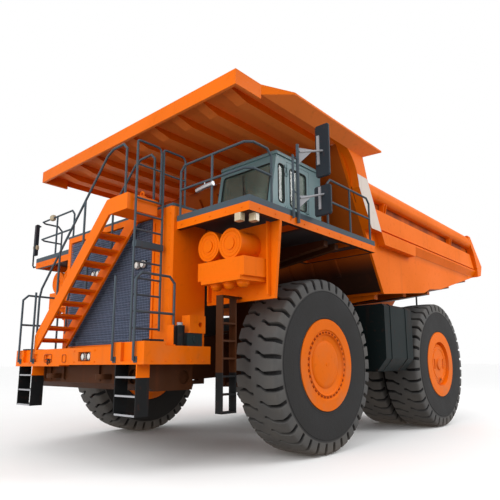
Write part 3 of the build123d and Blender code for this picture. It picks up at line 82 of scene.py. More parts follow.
class Finish:
    # a material, with the fixed values of its shader and one method for its nodes
    def __init__(self, name, **fixed):
        self.material = bpy.data.materials.new(name)
        self.material.use_nodes = True
        self.tree = self.material.node_tree
        self.shader = self.tree.nodes["Principled BSDF"]
        for words, value in fixed.items():
            self.put(self.shader.inputs[words.replace("_", " ")], value)

    def put(self, socket, value):
        if isinstance(value, Wire):
            self.tree.links.new(value.socket, socket)
        else:
            socket.default_value = (*value, 1.0) if socket.type == "RGBA" else value

    def node(self, kind, settings=None, sockets=None, out=0):
        made = self.tree.nodes.new(kind)
        for key, value in (settings or {}).items():
            setattr(made, key, value)
        for key, value in (sockets or {}).items():
            self.put(made.inputs[key], value)
        return Wire(self, made.outputs[out])

    def maths(self, operation, first, second=0.0):
        return self.node("ShaderNodeMath", {"operation": operation}, {0: first, 1: second})

    def feed(self, **varied):
        for words, value in varied.items():
            self.put(self.shader.inputs[words.replace("_", " ")], value)

    def axis(self, letter, source="Object"):
        # metres along one axis, or with the source "Normal" how far the surface faces that way
        spots = self.node("ShaderNodeTexCoord", out=source)
        return self.node("ShaderNodeSeparateXYZ", sockets={0: spots}, out=letter)

    def noise(self, scale, detail=3.0, stretch=(1.0, 1.0, 1.0)):
        spots = self.node("ShaderNodeTexCoord", out="Object")
        spots = self.node("ShaderNodeMapping", sockets={"Vector": spots, "Scale": stretch})
        return self.node("ShaderNodeTexNoise", sockets={"Vector": spots, "Scale": scale, "Detail": detail})

    def step(self, wire, low, high):
        # 0 below low, 1 above high and a smooth rise between
        return self.node("ShaderNodeMapRange", {"interpolation_type": "SMOOTHSTEP"},
                         {"Value": wire, "From Min": low, "From Max": high})

    def blotches(self, scale, detail, low, high, stretch=(1.0, 1.0, 1.0)):
        # smooth patches of noise: 0 where it is below low and 1 where it is above high
        return self.step(self.noise(scale, detail, stretch), low, high)

    def within(self, wire, low, high):
        return (wire > low) * (wire < high)

    def mix(self, share, first, second):
        return self.node("ShaderNodeMix", {"data_type": "RGBA"}, {0: share, 6: first, 7: second}, out=2)

    def relief(self, height, distance, strength=1.0):
        sockets = {"Height": height, "Distance": distance, "Strength": strength}
        self.feed(Normal=self.node("ShaderNodeBump", sockets=sockets))


tones = {  # linear colours
    "orange": (0.84, 0.158, 0.001),
    # underCanopy: a lighter copy of the orange for the canopy's underside, painted bounce light
    "underCanopy": (1.00, 0.250, 0.050),
    # headboard: a darker copy of the orange, painted shade under the canopy
    "headboard": (0.44, 0.092, 0.008),
    # frame: a dark brown in place of the orange on the frame and running gear, painted shade under the truck
    "frame": (0.060, 0.021, 0.008),
    # brown: the flecks and streaks in the paint, and the painted shade in bands on the bed's outer wall
    "brown": (0.20, 0.042, 0.010),
    # near black for the faces turned down under the decks and the bed floor, and for the headboard's foot:
    # painted shade
    "paintedShade": (0.040, 0.018, 0.012),
    # clamp: a darker copy of the orange, painted shade among the rim clamps
    "clamp": (0.42, 0.070, 0.006),
    "dust": (0.30, 0.22, 0.15),
    "slate": (0.062, 0.085, 0.105),
    "black": (0.012, 0.013, 0.014),
    "tank": (0.008, 0.014, 0.015),
    "teal": (0.018, 0.034, 0.038),
    "cab": (0.140, 0.240, 0.262),
    "navy": (0.024, 0.032, 0.042),
    "paleGrey": (0.34, 0.35, 0.38),
    "white": (0.66, 0.59, 0.54),
    "scraped": (0.20, 0.145, 0.105),
    "beige": (0.52, 0.44, 0.30),
    "grille": (0.070, 0.092, 0.150),
    # mesh: a paler copy of the grille's tone for the guard wires, painted highlight
    "mesh": (0.230, 0.290, 0.420),
    "iron": (0.055, 0.055, 0.055),
    "steel": (0.42, 0.42, 0.43),
    "chrome": (0.75, 0.75, 0.76),
    "silvered": (0.62, 0.66, 0.70),
    "glass": (0.120, 0.165, 0.140),
    "console": (0.045, 0.045, 0.050),
    "seal": (0.010, 0.010, 0.010),
    "lens": (0.80, 0.80, 0.78),
    "dimLens": (0.55, 0.56, 0.56),
    "cloth": (0.060, 0.062, 0.068),
    "lug": (0.078, 0.078, 0.079),
    "wornLug": (0.105, 0.102, 0.098),
    # groove: near black for the groove floors, painted shade
    "groove": (0.013, 0.013, 0.014),
}


def toned(tone, share=1.0, lift=0.0):
    # a tone's colour, darker or lighter by the share
    return tuple(part * share + lift for part in tones[tone])


sprayed = {  # blotches as (noise scale, detail, from, to), the share that a mark takes, and where dust fades
    "clouds": (0.55, 4.0, 0.30, 0.72), "flecks": (9.0, 6.0, 0.58, 0.74), "fleckShare": 0.10,
    "streaks": (1.0, 5.0, 0.56, 0.80, (5.0, 5.0, 0.45)), "streakShare": 0.14,
    "dust": (2.2, 6.0, 0.40, 0.75), "lowDust": 0.30, "topDust": 0.16, "dustFade": (2.6, 0.9),
}


def paint(name, tone, worn=0.12, gloss=0.42, coat=0.04, zones=(), dusty=True):
    # Sprayed paint: the tone fades in metre-wide clouds, has darker flecks, streaks that run down, dust
    # that settles low down and on what faces up, and a fine orange-peel relief. Each zone is (mask,
    # tone): a function of the finish that gives 1 where the other tone goes.
    made = Finish(name, Coat_Roughness=0.16, Specular_IOR_Level=0.06)
    cloud, fleck, streak = (made.blotches(*sprayed[kind]) for kind in ("clouds", "flecks", "streaks"))
    colour = made.mix(cloud, tones[tone], toned(tone, 1.0 - worn, 0.002))
    for mask, other in zones:
        colour = made.mix(mask(made), colour, tones[other])
    marks = fleck * sprayed["fleckShare"] + streak * sprayed["streakShare"]
    colour = made.mix(marks, colour, tones["brown"])
    rough = gloss + cloud * 0.10 + fleck * 0.12
    if dusty:
        low = made.step(made.axis("Z"), *sprayed["dustFade"])
        up = made.step(made.axis("Z", "Normal"), 0.55, 0.95)
        dust = made.blotches(*sprayed["dust"]) * (low * sprayed["lowDust"] + up * sprayed["topDust"])
        colour = made.mix(dust, colour, tones["dust"])
        rough = rough + dust * 0.3
    made.feed(Base_Color=colour, Roughness=rough, Coat_Weight=coat - cloud * 0.03)
    made.relief(made.noise(160.0, 2.0) * 0.15 + made.noise(1.4, 2.0), 0.004, 0.35)
    return made.material


def facing(letter, low, high, sign=1):
    # rises from 0 to 1 as the surface turns to face the way of the letter, or with -1 the other way
    return lambda made: made.step(made.axis(letter, "Normal") * sign, low, high)


def above(height, soft=0.002):
    return lambda made: made.step(made.axis("Z"), height - soft, height + soft)


def below(height, soft=0.002):
    return lambda made: made.step(made.axis("Z"), height + soft, height - soft)


def every(*masks):
    # 1 only where all the masks are 1
    def joint(made):
        whole = masks[0](made)
        for mask in masks[1:]:
            whole = whole * mask(made)
        return whole
    return joint


axle = {"back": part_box("rim_front_left")[0][1] * 0.5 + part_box("rim_front_left")[1][1] * 0.5}


def at(x, back, high):
    # a place given as metres left, back from the front axle and up
    return np.array([x, axle["back"] + back, high])


def aheadOf(start, end):
    # 1 ahead of a slanting line in the side view, from (back, high) to (back, high)
    slope = (end[0] - start[0]) / (end[1] - start[1])
    offset = axle["back"] + start[0] - slope * start[1]
    return lambda made: (made.axis("Z") * slope + offset - made.axis("Y")) > 0.0


def between(letter, low, high):
    # 1 from low to high; along "Y" the limits are metres back from the front axle
    shift = axle["back"] if letter == "Y" else 0.0
    return lambda made: made.within(made.axis(letter), low + shift, high + shift)


# The bed's side: a white stripe on the front post, and on the outer wall painted shade in a band under the
# top rail and in one that fades downwards from the ledge
bedSide = {"post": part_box("bed_sides")[1][0] - 0.004, "stripe": (4.875, 6.05), "wall": 3.30,
           "stripeFront": ((2.29, 4.87), (1.68, 6.05)), "railShade": (5.46, 5.80), "ledge": 4.93,
           "ledgeRun": (3.2, 9.0), "ledgeFade": (4.50, 4.88), "ledgeShare": 0.75}
stripe = every(above(bedSide["stripe"][0]), below(bedSide["stripe"][1]), aheadOf(*bedSide["stripeFront"]),
               lambda made: abs(made.axis("X")) > bedSide["post"])
outerWall = lambda made: abs(abs(made.axis("X")) - bedSide["wall"]) < 0.008
underRail = every(outerWall, between("Z", *bedSide["railShade"]),
                  lambda made: made.blotches(0.9, 4.0, 0.20, 0.55, (1.0, 1.0, 0.3)))
underLedge = every(outerWall, below(bedSide["ledge"]), between("Y", *bedSide["ledgeRun"]),
                   lambda made: made.step(made.axis("Z"), *bedSide["ledgeFade"]) * bedSide["ledgeShare"])

# The front ladders: pale rungs, black sides and an orange plate at the top of each ladder's left side
ladder = {"middle": 1.81, "half": 0.31, "plate": 0.03, "plateFoot": 1.53}
rungFaces = every(facing("Y", 0.6, 0.9, -1),
                  lambda made: abs(abs(made.axis("X")) - ladder["middle"]) < ladder["half"] - ladder["plate"])
leftSides = lambda made: abs(abs(made.axis("X") - ladder["half"]) - ladder["middle"]) < ladder["plate"]
leftPlates = every(above(ladder["plateFoot"]), leftSides)

# Where the bumper wings' fittings and the mirrors' arms and post lie, back from the front axle, and the
# heights where a piece's paint changes
wing = {"valve": (-2.75, -2.38), "valveTop": 2.279, "canister": (-2.96, -2.77), "canisterTop": 2.402,
        "steps": (-3.56, -3.20), "stepTop": 2.20, "rightSteps": (-2.60, 0.0)}
mirrorArms = {"arms": (-1.418, -0.9255), "post": (-1.50, -1.418)}
# the headboard's height here is where painted shade begins, fading in below it
changes = {"headboardShade": 4.20, "deckEdge": 4.34, "walkway": 4.62, "sideLadderFoot": 1.60}
# faces turned down, where the decks and the walkway take painted shade
underside = facing("Z", 0.4, 0.8, -1)

finishes = {
    "orange": paint("orangePaint", "orange"),
    # the brown bands under the bed's top rail and its ledge are painted shade
    "stripedBed": paint("bedPaint", "orange", zones=[
        (underRail, "brown"), (underLedge, "brown"), (stripe, "white")]),
    # the canopy's faces turned down take the lighter underCanopy tone: painted bounce light
    "canopy": paint("canopyPaint", "orange", zones=[(facing("Z", 0.2, 0.8, -1), "underCanopy")]),
    # the headboard's darker orange is painted shade under the canopy, and towards its foot it fades into
    # darker painted shade
    "headboard": paint("headboardPaint", "headboard",
                       zones=[(below(changes["headboardShade"], 0.30), "paintedShade")]),
    # the bed floor's faces turned down take painted shade; its faces turned up are scraped
    "bedFloor": paint("bedFloorPaint", "orange", zones=[
        (facing("Z", 0.1, 0.7, -1), "paintedShade"), (facing("Z", 0.3, 0.8), "scraped")]),
    # the decks and the walkway take painted shade on their undersides and slate on top
    "decks": paint("deckPaint", "orange", zones=[
        (underside, "paintedShade"), (above(changes["deckEdge"]), "slate")]),
    "walkway": paint("walkwayPaint", "orange", zones=[
        (underside, "paintedShade"), (above(changes["walkway"]), "slate"),
        (facing("Z", 0.4, 0.8), "slate")]),
    # the frame's dark brown is painted shade under the truck
    "frame": paint("framePaint", "frame", gloss=0.5, coat=0.05, dusty=False),
    "wing": paint("wingFittingsPaint", "orange", zones=[
        (every(between("Y", *wing["valve"]), below(wing["valveTop"])), "teal"),
        (between("Y", *wing["canister"]), "black"),
        (every(between("Y", *wing["canister"]), above(wing["canisterTop"])), "paleGrey"),
        (every(between("Y", *wing["steps"]), below(wing["stepTop"])), "black"),
        (every(between("X", *wing["rightSteps"]), below(wing["stepTop"])), "black")]),
    "slate": paint("slatePaint", "slate", gloss=0.42, coat=0.1, dusty=False),
    "black": paint("blackPaint", "black", gloss=0.45, coat=0.1),
    "tank": paint("tankPaint", "tank", gloss=0.45, coat=0.06, dusty=False),
    "cab": paint("cabPaint", "cab", gloss=0.38, coat=0.3),
    "mirror": paint("mirrorPaint", "navy", gloss=0.35, coat=0.1, dusty=False, zones=[
        (between("Y", *mirrorArms["arms"]), "paleGrey"),
        (between("Y", *mirrorArms["post"]), "slate")]),
    "grille": paint("grillePaint", "grille", gloss=0.45, coat=0.1, dusty=False),
    # the guard wires' paler tone is painted highlight
    "mesh": paint("meshPaint", "mesh", gloss=0.40, coat=0.1, dusty=False),
    "ladder": paint("ladderPaint", "black", dusty=False, zones=[
        (leftPlates, "orange"), (rungFaces, "paleGrey")]),
    # the side ladder's upper part takes the frame's dark brown as painted shade; below its foot height it is
    # black
    "sideLadder": paint("sideLadderPaint", "frame", dusty=False,
                        zones=[(below(changes["sideLadderFoot"]), "black")]),
    # the rim clamps' darker orange is painted shade among them
    "clamp": paint("clampPaint", "clamp", dusty=False),
    "iron": paint("engineIron", "iron", gloss=0.6, coat=0.0),
}


def plastic(name, tone, gloss=0.55, grain=60.0):
    # moulded plastic: an even tone with slight clouds and a leathery grain
    made = Finish(name, Specular_IOR_Level=0.4)
    cloud = made.noise(1.8, 3.0)
    made.feed(Base_Color=made.mix(cloud, tones[tone], toned(tone, 0.7)), Roughness=gloss + cloud * 0.15)
    made.relief(made.noise(grain, 3.0), 0.002, 0.3)
    return made.material


def bareSteel(name, tone, rough=0.12, along=(1.0, 1.0, 1.0)):
    # polished steel: fine scratches drawn out along one way
    made = Finish(name, Metallic=1.0)
    scratch = made.noise(30.0, 5.0, stretch=along)
    colour = made.mix(scratch * 0.5, tones[tone], toned(tone, 0.7))
    made.feed(Base_Color=colour, Roughness=rough + scratch * 0.2)
    return made.material


def windowGlass(name, tone, clear):
    # tinted glass: dust shows in thin clouds and makes it less clear there
    made = Finish(name, Roughness=0.04, IOR=1.5, Coat_Weight=0.6, Coat_Roughness=0.02)
    haze = made.blotches(1.3, 5.0, 0.35, 0.8, (1.0, 1.0, 0.6))
    made.feed(Base_Color=made.mix(haze, tones[tone], toned(tone, 1.6, 0.02)), Alpha=1.0 - clear + haze * 0.2)
    return made.material


def rubber(name):
    # tyre rubber: paler and dustier on the lugs, near black in the grooves as painted shade, and dusty by the
    # ground
    made = Finish(name, Specular_IOR_Level=0.16)
    lug = made.node("ShaderNodeAttribute", {"attribute_name": "lug"}, out="Fac")
    cloud = made.blotches(1.6, 6.0, 0.3, 0.75)
    grit = made.noise(45.0, 5.0)
    colour = made.mix(lug, tones["groove"], made.mix(cloud, tones["lug"], tones["wornLug"]))
    colour = made.mix(made.step(made.axis("Z"), 0.35, 0.0) * 0.12, colour, tones["dust"])
    made.feed(Base_Color=colour, Roughness=0.62 + cloud * 0.14 + grit * 0.12)
    made.relief(grit + made.noise(9.0, 3.0), 0.006, 0.5)
    return made.material


lampShells = {"headBracket": (-2.872, -2.80), "bumperBracket": (-3.572, -3.50), "deckLamps": 4.0}


def lampShell(name):
    # clear lamp glass, with black brackets behind the head and bumper lamps and beige lamps under the deck
    made = Finish(name, Specular_IOR_Level=0.5, Roughness=0.12)
    colour = made.mix(made.noise(6.0, 3.0) * 0.3, tones["lens"], tones["dimLens"])
    for mask, other in ((between("Y", *lampShells["headBracket"]), tones["black"]),
                        (between("Y", *lampShells["bumperBracket"]), tones["black"]),
                        (above(lampShells["deckLamps"]), tones["beige"])):
        colour = made.mix(mask(made), colour, other)
    made.feed(Base_Color=colour)
    made.relief(made.noise(25.0, 3.0), 0.002, 0.3)
    return made.material


def cloth(name, tone, pitch=1400.0):
    # woven seat cloth: two crossing sets of threads a few millimetres apart, faded in soft clouds
    made = Finish(name, Specular_IOR_Level=0.2, Sheen_Weight=0.3, Sheen_Roughness=0.5)
    cloud = made.noise(5.0, 4.0)
    threads = made.maths("SINE", made.axis("X") * pitch)
    crossing = made.maths("SINE", (made.axis("Z") + made.axis("Y")) * pitch)
    weave = threads * crossing
    fade = made.mix(cloud * 0.5 + weave * 0.1, tones[tone], toned(tone, 0.6))
    made.feed(Base_Color=fade, Roughness=0.85 + cloud * 0.1)
    made.relief(weave + cloud, 0.001, 0.4)
    return made.material


finishes.update({
    "glass": windowGlass("tintedGlass", "glass", 0.50),
    "lampShell": lampShell("lampShell"),
    "cloth": cloth("seatCloth", "cloth"),
    "rod": bareSteel("chromedRod", "chrome", 0.08, along=(1.0, 0.2, 0.2)),
    "steel": bareSteel("barSteel", "steel", 0.28),
    "console": plastic("consolePlastic", "console"),
    "seal": plastic("windowRubber", "seal", 0.7),
    "lens": plastic("lampLens", "lens", 0.08, 25.0),
    "beige": plastic("lampBeige", "beige", 0.35),
    "bracket": plastic("bracketGrey", "paleGrey", 0.4),
    "tyre": rubber("tyreRubber"),
    "looking": bareSteel("mirrorFace", "silvered", 0.03),
})

carried = {
    "orange": ["front_bumper", "radiator_housing", "stairway", "air_cleaners", "control_cabinet",
               "rim_front_left", "rim_front_right", "rims_rear_left", "rims_rear_right"],
    "wing": ["wing_equipment"],
    "stripedBed": ["bed_sides"],
    "headboard": ["bed_headboard"],
    "bedFloor": ["bed_floor", "bed_stringers"],
    "canopy": ["bed_canopy"],
    "decks": ["side_decks"],
    "walkway": ["centre_deck"],
    # the frame, front box, tower and running gear take the dark brown painted shade
    "frame": ["main_frame", "front_box", "deck_tower", "rear_axle", "suspension_struts", "knuckle_left",
              "knuckle_right", "tie_rod"],
    "slate": ["grab_rails", "stair_rails", "upright_ladder", "deck_rails_left", "deck_rails_right"],
    "ladder": ["front_ladders"],
    "sideLadder": ["side_ladder"],
    "grille": ["radiator_grille"],
    "iron": ["engine_block"],
    "cab": ["cab_floor", "cab_front", "cab_rear", "cab_side_left", "cab_side_right", "cab_roof", "cab_door"],
    "glass": ["cab_glass", "door_glass"],
    "console": ["steering_console", "operator_seat"],
    "mirror": ["mirrors"],
    "lampShell": ["lamps"],
    "tank": ["fuel_tank", "oil_tank"],
    "black": ["hoist_barrel_left", "hoist_barrel_right"],
    "rod": ["hoist_stage_left", "hoist_stage_right", "hoist_rod_left", "hoist_rod_right"],
    "tyre": ["tyre_front_left", "tyre_front_right", "tyres_rear_left", "tyres_rear_right"],
}
for finish, names in carried.items():
    for name in names:
        for place in nodes[name].material_slots:
            place.material = finishes[finish]
print("stage: finishes on", sum(map(len, carried.values())), "nodes")


# Surfaces

def gridFaces(rows, columns, ringRows=False, ringColumns=False):
    # the quads between neighbouring rows and columns of a grid, closed round where asked
    row, column = np.meshgrid(np.arange(rows if ringRows else rows - 1),
                              np.arange(columns if ringColumns else columns - 1), indexing="ij")
    nextRow, nextColumn = (row + 1) % rows, (column + 1) % columns
    corners = (row * columns + column, row * columns + nextColumn,
               nextRow * columns + nextColumn, nextRow * columns + column)
    return np.stack(corners, -1).reshape(-1, 4)


def skin(grid, ringRows=False, ringColumns=False):
    # a part: the grid's points and the quads between them
    return grid.reshape(-1, 3), gridFaces(grid.shape[0], grid.shape[1], ringRows, ringColumns)


def capped(grid):
    # a grid of rings, with each end ring closed to its middle
    first, last = (ring.mean(1, keepdims=True).repeat(grid.shape[1], 1) for ring in (grid[:1], grid[-1:]))
    return np.concatenate((first, grid, last))


def repeated(faces, points, count):
    # the quads of a shape with that many points, for every copy of it
    return (np.arange(count)[:, None, None] * points + faces[None]).reshape(-1, 4)


def frameOf(way):
    # three unit vectors, the last along the way given
    ahead = np.array(way, float) / np.linalg.norm(way)
    across = np.cross(ahead, (0.0, 0.0, 1.0) if abs(ahead[2]) < 0.9 else (0.0, 1.0, 0.0))
    across = across / np.linalg.norm(across)
    return across, np.cross(ahead, across), ahead


def turned(profile, centre, way, count):
    # a turned shape: each (along, radius) of the profile goes round the way through the centre
    across, over, ahead = frameOf(way)
    along, radius = np.asarray(profile, float).T
    angle = np.linspace(0, 2 * math.pi, count, endpoint=False)
    ring = np.cos(angle)[:, None] * across + np.sin(angle)[:, None] * over
    grid = np.asarray(centre) + along[:, None, None] * ahead + radius[:, None, None] * ring
    return skin(grid, ringColumns=True)


def smoothLine(knots, count):
    # a smooth line through the knots: between two of them a cubic with slopes from their neighbours
    knots = np.asarray(knots, float)
    ends = np.vstack((2 * knots[0] - knots[1], knots, 2 * knots[-1] - knots[-2]))
    share = np.linspace(0, len(knots) - 1, count)
    first = np.minimum(share.astype(int), len(knots) - 2)
    t = (share - first)[:, None]
    a, b, c, d = (ends[first + shift] for shift in range(4))
    return b + 0.5 * t * (c - a + t * (2 * a - 5 * b + 4 * c - d + t * (3 * (b - c) + d - a)))


def tube(path, radius, count=10):
    # a round bar along a path: at each station a circle across the line's direction, ends closed
    path = np.asarray(path, float)
    ahead = np.gradient(path, axis=0)
    ahead = ahead / np.linalg.norm(ahead, axis=1)[:, None]
    hint = np.eye(3)[np.argmin(np.abs(ahead).max(axis=0))]
    across = np.cross(ahead, hint)
    across = across / np.linalg.norm(across, axis=1)[:, None]
    over = np.cross(ahead, across)
    angle = np.linspace(0, 2 * math.pi, count, endpoint=False)[:, None]
    ring = np.cos(angle) * across[:, None] + np.sin(angle) * over[:, None]
    grid = path[:, None] + radius * ring
    grid = np.concatenate((path[:1, None].repeat(count, 1), grid, path[-1:, None].repeat(count, 1)))
    return skin(grid, ringColumns=True)


def bent(corners, radius, steps=6):
    # a path with rounded corners: each corner gives way to a quarter-like curve between points that lie
    # the radius before and after it, P = (1-t)(1-t)A + 2t(1-t)C + ttB
    corners = [np.asarray(corner, float) for corner in corners]
    path = [corners[0][None]]
    for before, corner, after in zip(corners, corners[1:], corners[2:]):
        start = corner + (before - corner) * min(0.45, radius / np.linalg.norm(before - corner))
        end = corner + (after - corner) * min(0.45, radius / np.linalg.norm(after - corner))
        t = np.linspace(0, 1, steps)[:, None]
        path.append((1 - t) ** 2 * start + 2 * t * (1 - t) * corner + t ** 2 * end)
    path.append(corners[-1][None])
    return np.vstack(path)


def softBlock(centre, half, corner=0.25, rows=12, columns=24):
    # a block with rounded edges: a ball whose sines and cosines are raised to a small power
    up = np.linspace(-math.pi / 2, math.pi / 2, rows)[:, None]
    turn = np.linspace(0, 2 * math.pi, columns, endpoint=False)[None]
    shaped = lambda value: np.sign(value) * np.abs(value) ** corner
    unit = np.stack((shaped(np.cos(up)) * shaped(np.cos(turn)), shaped(np.cos(up)) * shaped(np.sin(turn)),
                     shaped(np.sin(up)) * np.ones_like(turn)), -1)
    return skin(np.asarray(centre) + unit * np.asarray(half), ringColumns=True)


def studs(places, way, radius, height, sides=6):
    # bolts: a washer and a headed nut turned once, then set at every place, all facing one way
    places = np.atleast_2d(places)
    profile = [(-0.003, 0), (-0.003, radius * 1.35), (height * 0.2, radius * 1.35), (height * 0.2, radius),
               (height * 0.9, radius), (height, radius * 0.85), (height, 0)]
    points, faces = turned(profile, (0, 0, 0), way, sides)
    many = (places[:, None] + points[None]).reshape(-1, 3)
    return many, repeated(faces, len(points), len(places))


def ringOf(centre, way, radius, count, start=0.0):
    # places spaced evenly on a circle
    across, over, _ = frameOf(way)
    angle = (np.arange(count) + start) * 2 * math.pi / count
    return np.asarray(centre) + radius * (np.cos(angle)[:, None] * across + np.sin(angle)[:, None] * over)


def clampRing(centre, way, radius, count, half):
    # soft blocks round a circle: a block's (out, round, along) lie on the radial, tangent and axle ways
    across, over, ahead = frameOf(way)
    points, faces = softBlock((0, 0, 0), half, 0.35, 7, 12)
    angle = (np.arange(count) * 2 * math.pi / count)[:, None, None]
    radial = np.cos(angle) * across + np.sin(angle) * over
    tangent = np.cross(np.broadcast_to(ahead, radial.shape), radial)
    out, aside, along = (points[None, :, side, None] for side in range(3))
    many = np.asarray(centre) + radial * (radius + out) + tangent * aside + ahead * along
    return many.reshape(-1, 3), repeated(faces, len(points), count)


def mirrored(part):
    return part[0] * (-1, 1, 1), part[1][:, ::-1]


def piece(name, parts, material, body, crease=35, values=None):
    # one object from parts: their points and quads joined, doubles merged, normals turned outwards
    points = np.concatenate([part[0] for part in parts])
    starts = np.cumsum([0] + [len(part[0]) for part in parts[:-1]])
    faces = np.concatenate([part[1] + start for part, start in zip(parts, starts)])
    mesh = bpy.data.meshes.new(name)
    mesh.from_pydata(points, [], faces)
    if values is not None:
        mesh.attributes.new("lug", "FLOAT", "POINT").data.foreach_set("value", values.astype(np.float32))
    form = bmesh.new()
    form.from_mesh(mesh)
    bmesh.ops.remove_doubles(form, verts=form.verts, dist=1e-5)
    bmesh.ops.dissolve_degenerate(form, edges=form.edges, dist=1e-6)
    bmesh.ops.recalc_face_normals(form, faces=form.faces)
    form.to_mesh(mesh)
    form.free()
    mesh.shade_smooth()
    mesh.set_sharp_from_angle(angle=math.radians(crease))
    mesh.materials.append(finishes[material])
    made = bpy.data.objects.new(name, mesh)
    bpy.context.scene.collection.objects.link(made)
    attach(made, body)
    return made


# Tyres: the tread's numbers, then the section's lines as (across, radius), down to the bead
tread = {
    "lugs": 36, "tip": 1.725, "crown": 0.018, "depth": 0.095, "halfTread": 0.41, "tyreWidth": 0.96,
    "ribMiddle": 0.028, "ribHalf": 0.05, "ribSlope": 0.008, "rows": 13, "drawIn": 0.02, "drawFrom": 0.3,
    "grooveAt": (0, 0.2, 0.41, 0.47), "grooveHalf": (0.085, 0.10, 0.135, 0.15), "floorShare": 0.68,
    "shift": 0.25, "sCurve": 0.26, "bendFrom": 0.09, "bendTo": 0.25, "straightBelow": 1.5,
    "chamfer": 0.02, "lipShare": 0.9, "sideShade": 0.18, "crease": 28,
}
section = {
    "shoulder": [(0.425, 1.702), (0.45, 1.68), (0.464, 1.64), (0.47, 1.585), (0.474, 1.53), (0.4765, 1.487)],
    "grooveEnd": [(0.4, 1.598), (0.415, 1.59), (0.43, 1.572), (0.442, 1.55), (0.456, 1.518), (0.4765, 1.487)],
    "ridge": [(0.4770, 1.462), (0.4700, 1.452), (0.4700, 1.438), (0.4780, 1.428)],
    "side": [(0.4795, 1.380), (0.4785, 1.270), (0.4740, 1.160), (0.4660, 1.060), (0.4600, 0.990)],
    "ring": [(0.4600, 0.972), (0.4560, 0.968), (0.4560, 0.955), (0.4590, 0.950)],
    "bead": [(0.4560, 0.918), (0.4400, 0.905), (0.3950, 0.895), (0.3940, 0.770)],
}


def halfTyre(steps=9):
    # From the middle outwards, each row has a lug point and a groove point (across, radius), the groove's
    # half width in lug pitches and its shift round the tyre. The tread is crowned with the cube of the
    # distance from the middle; the shoulder and side follow smooth lines.
    half, edge = tread["halfTread"], tread["ribHalf"]
    lugRows = np.linspace(edge + tread["ribSlope"], half, tread["rows"])
    across = np.concatenate(([tread["ribMiddle"], edge], lugRows))
    radius = tread["tip"] - tread["crown"] * (across / half) ** 3
    floor = radius - tread["depth"] * (across > edge + tread["ribSlope"] / 2)
    drawn = tread["drawIn"] * np.clip((across - tread["drawFrom"]) / (half - tread["drawFrom"]), 0, 1)
    lug, groove = np.column_stack((across, radius)), np.column_stack((across - drawn, floor))
    shoulder, under = smoothLine(section["shoulder"], steps), smoothLine(section["grooveEnd"], steps)
    wall = np.vstack((section["ridge"], smoothLine(section["side"], steps), section["ring"], section["bead"]))
    lugs, grooves = np.vstack((lug, shoulder, wall)), np.vstack((groove, under, wall))
    width = np.interp(lugs[:, 0], tread["grooveAt"], tread["grooveHalf"])
    bend = np.clip((lugs[:, 0] - tread["bendFrom"]) / (tread["bendTo"] - tread["bendFrom"]), 0, 1)
    shift = tread["shift"] + tread["sCurve"] * bend * bend * (3 - 2 * bend)
    shift[lugs[:, 1] < tread["straightBelow"]] = shift[0] + tread["sCurve"]
    shade = np.full(len(lugs), 1.0)
    shade[len(lug) + len(shoulder):] = tread["sideShade"]
    return lugs, grooves, width, shift, shade


def treadedTyre(middle, outward):
    # Round the axle each lug pitch has eight columns: the groove's two lips, its floor, and the lug. A
    # point is groove + (lug - groove) * share, at the angle pitch * (lug number + column - shift), with
    # the shift turned round on the other half, so that the grooves are S-shaped and half a pitch apart.
    lugs, grooves, width, shift, shade = halfTyre()
    side = np.concatenate((-np.ones(len(lugs)), np.ones(len(lugs))))
    order = np.concatenate((np.arange(len(lugs))[::-1], np.arange(len(lugs))))
    lugs, grooves, width, shift, shade = (rows[order] for rows in (lugs, grooves, width, shift, shade))
    soft, lip, floor = tread["chamfer"], tread["lipShare"], tread["floorShare"] * width
    free = (1 - 2 * width - 2 * soft) / 3
    columns = np.stack((-width - soft, -width, -floor, floor, width, width + soft,
                        width + soft + free, width + soft + 2 * free), -1)
    share = np.tile((1, lip, 0, 0, lip, 1, 1, 1), tread["lugs"])
    turns = np.arange(tread["lugs"])[None, :, None] + columns[:, None, :] - (side * shift)[:, None, None]
    angle = (turns * 2 * math.pi / tread["lugs"]).reshape(len(lugs), -1)
    spot = grooves[:, None] + (lugs - grooves)[:, None] * share[None, :, None]
    x = middle[0] + outward * side[:, None] * spot[:, :, 0]
    y = middle[1] - spot[:, :, 1] * np.cos(angle)
    z = middle[2] + spot[:, :, 1] * np.sin(angle)
    deep = np.linalg.norm(lugs - grooves, axis=1)[:, None] > 0.004
    # the lug value is 0 on the groove floors, which take the groove tone's painted shade
    value = shade[:, None] * np.where(deep, share[None], 1.0)
    return skin(np.stack((x, y, z), -1), ringRows=True, ringColumns=True), value.ravel()


def tyres(node, body):
    # one tyre, or two where the node is wide enough for twins
    low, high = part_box(node)
    outward = 1 if low[0] > 0 else -1
    half, middle = tread["tyreWidth"] / 2, [(low[side] + high[side]) / 2 for side in range(3)]
    twins = high[0] - low[0] > 1.5 * tread["tyreWidth"]
    across = [low[0] + half, high[0] - half] if twins else [middle[0]]
    made = [treadedTyre((x, middle[1], middle[2]), outward) for x in across]
    treaded = piece(node.replace("tyre", "treaded", 1), [part for part, value in made], "tyre", body,
                    crease=tread["crease"], values=np.concatenate([value for part, value in made]))
    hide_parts(node)


wheels = {"tyre_front_left": "wheel_front_left", "tyre_front_right": "wheel_front_right",
          "tyres_rear_left": "wheel_rear_left", "tyres_rear_right": "wheel_rear_right"}
for node, body in wheels.items():
    tyres(node, body)
print("stage: tyres")


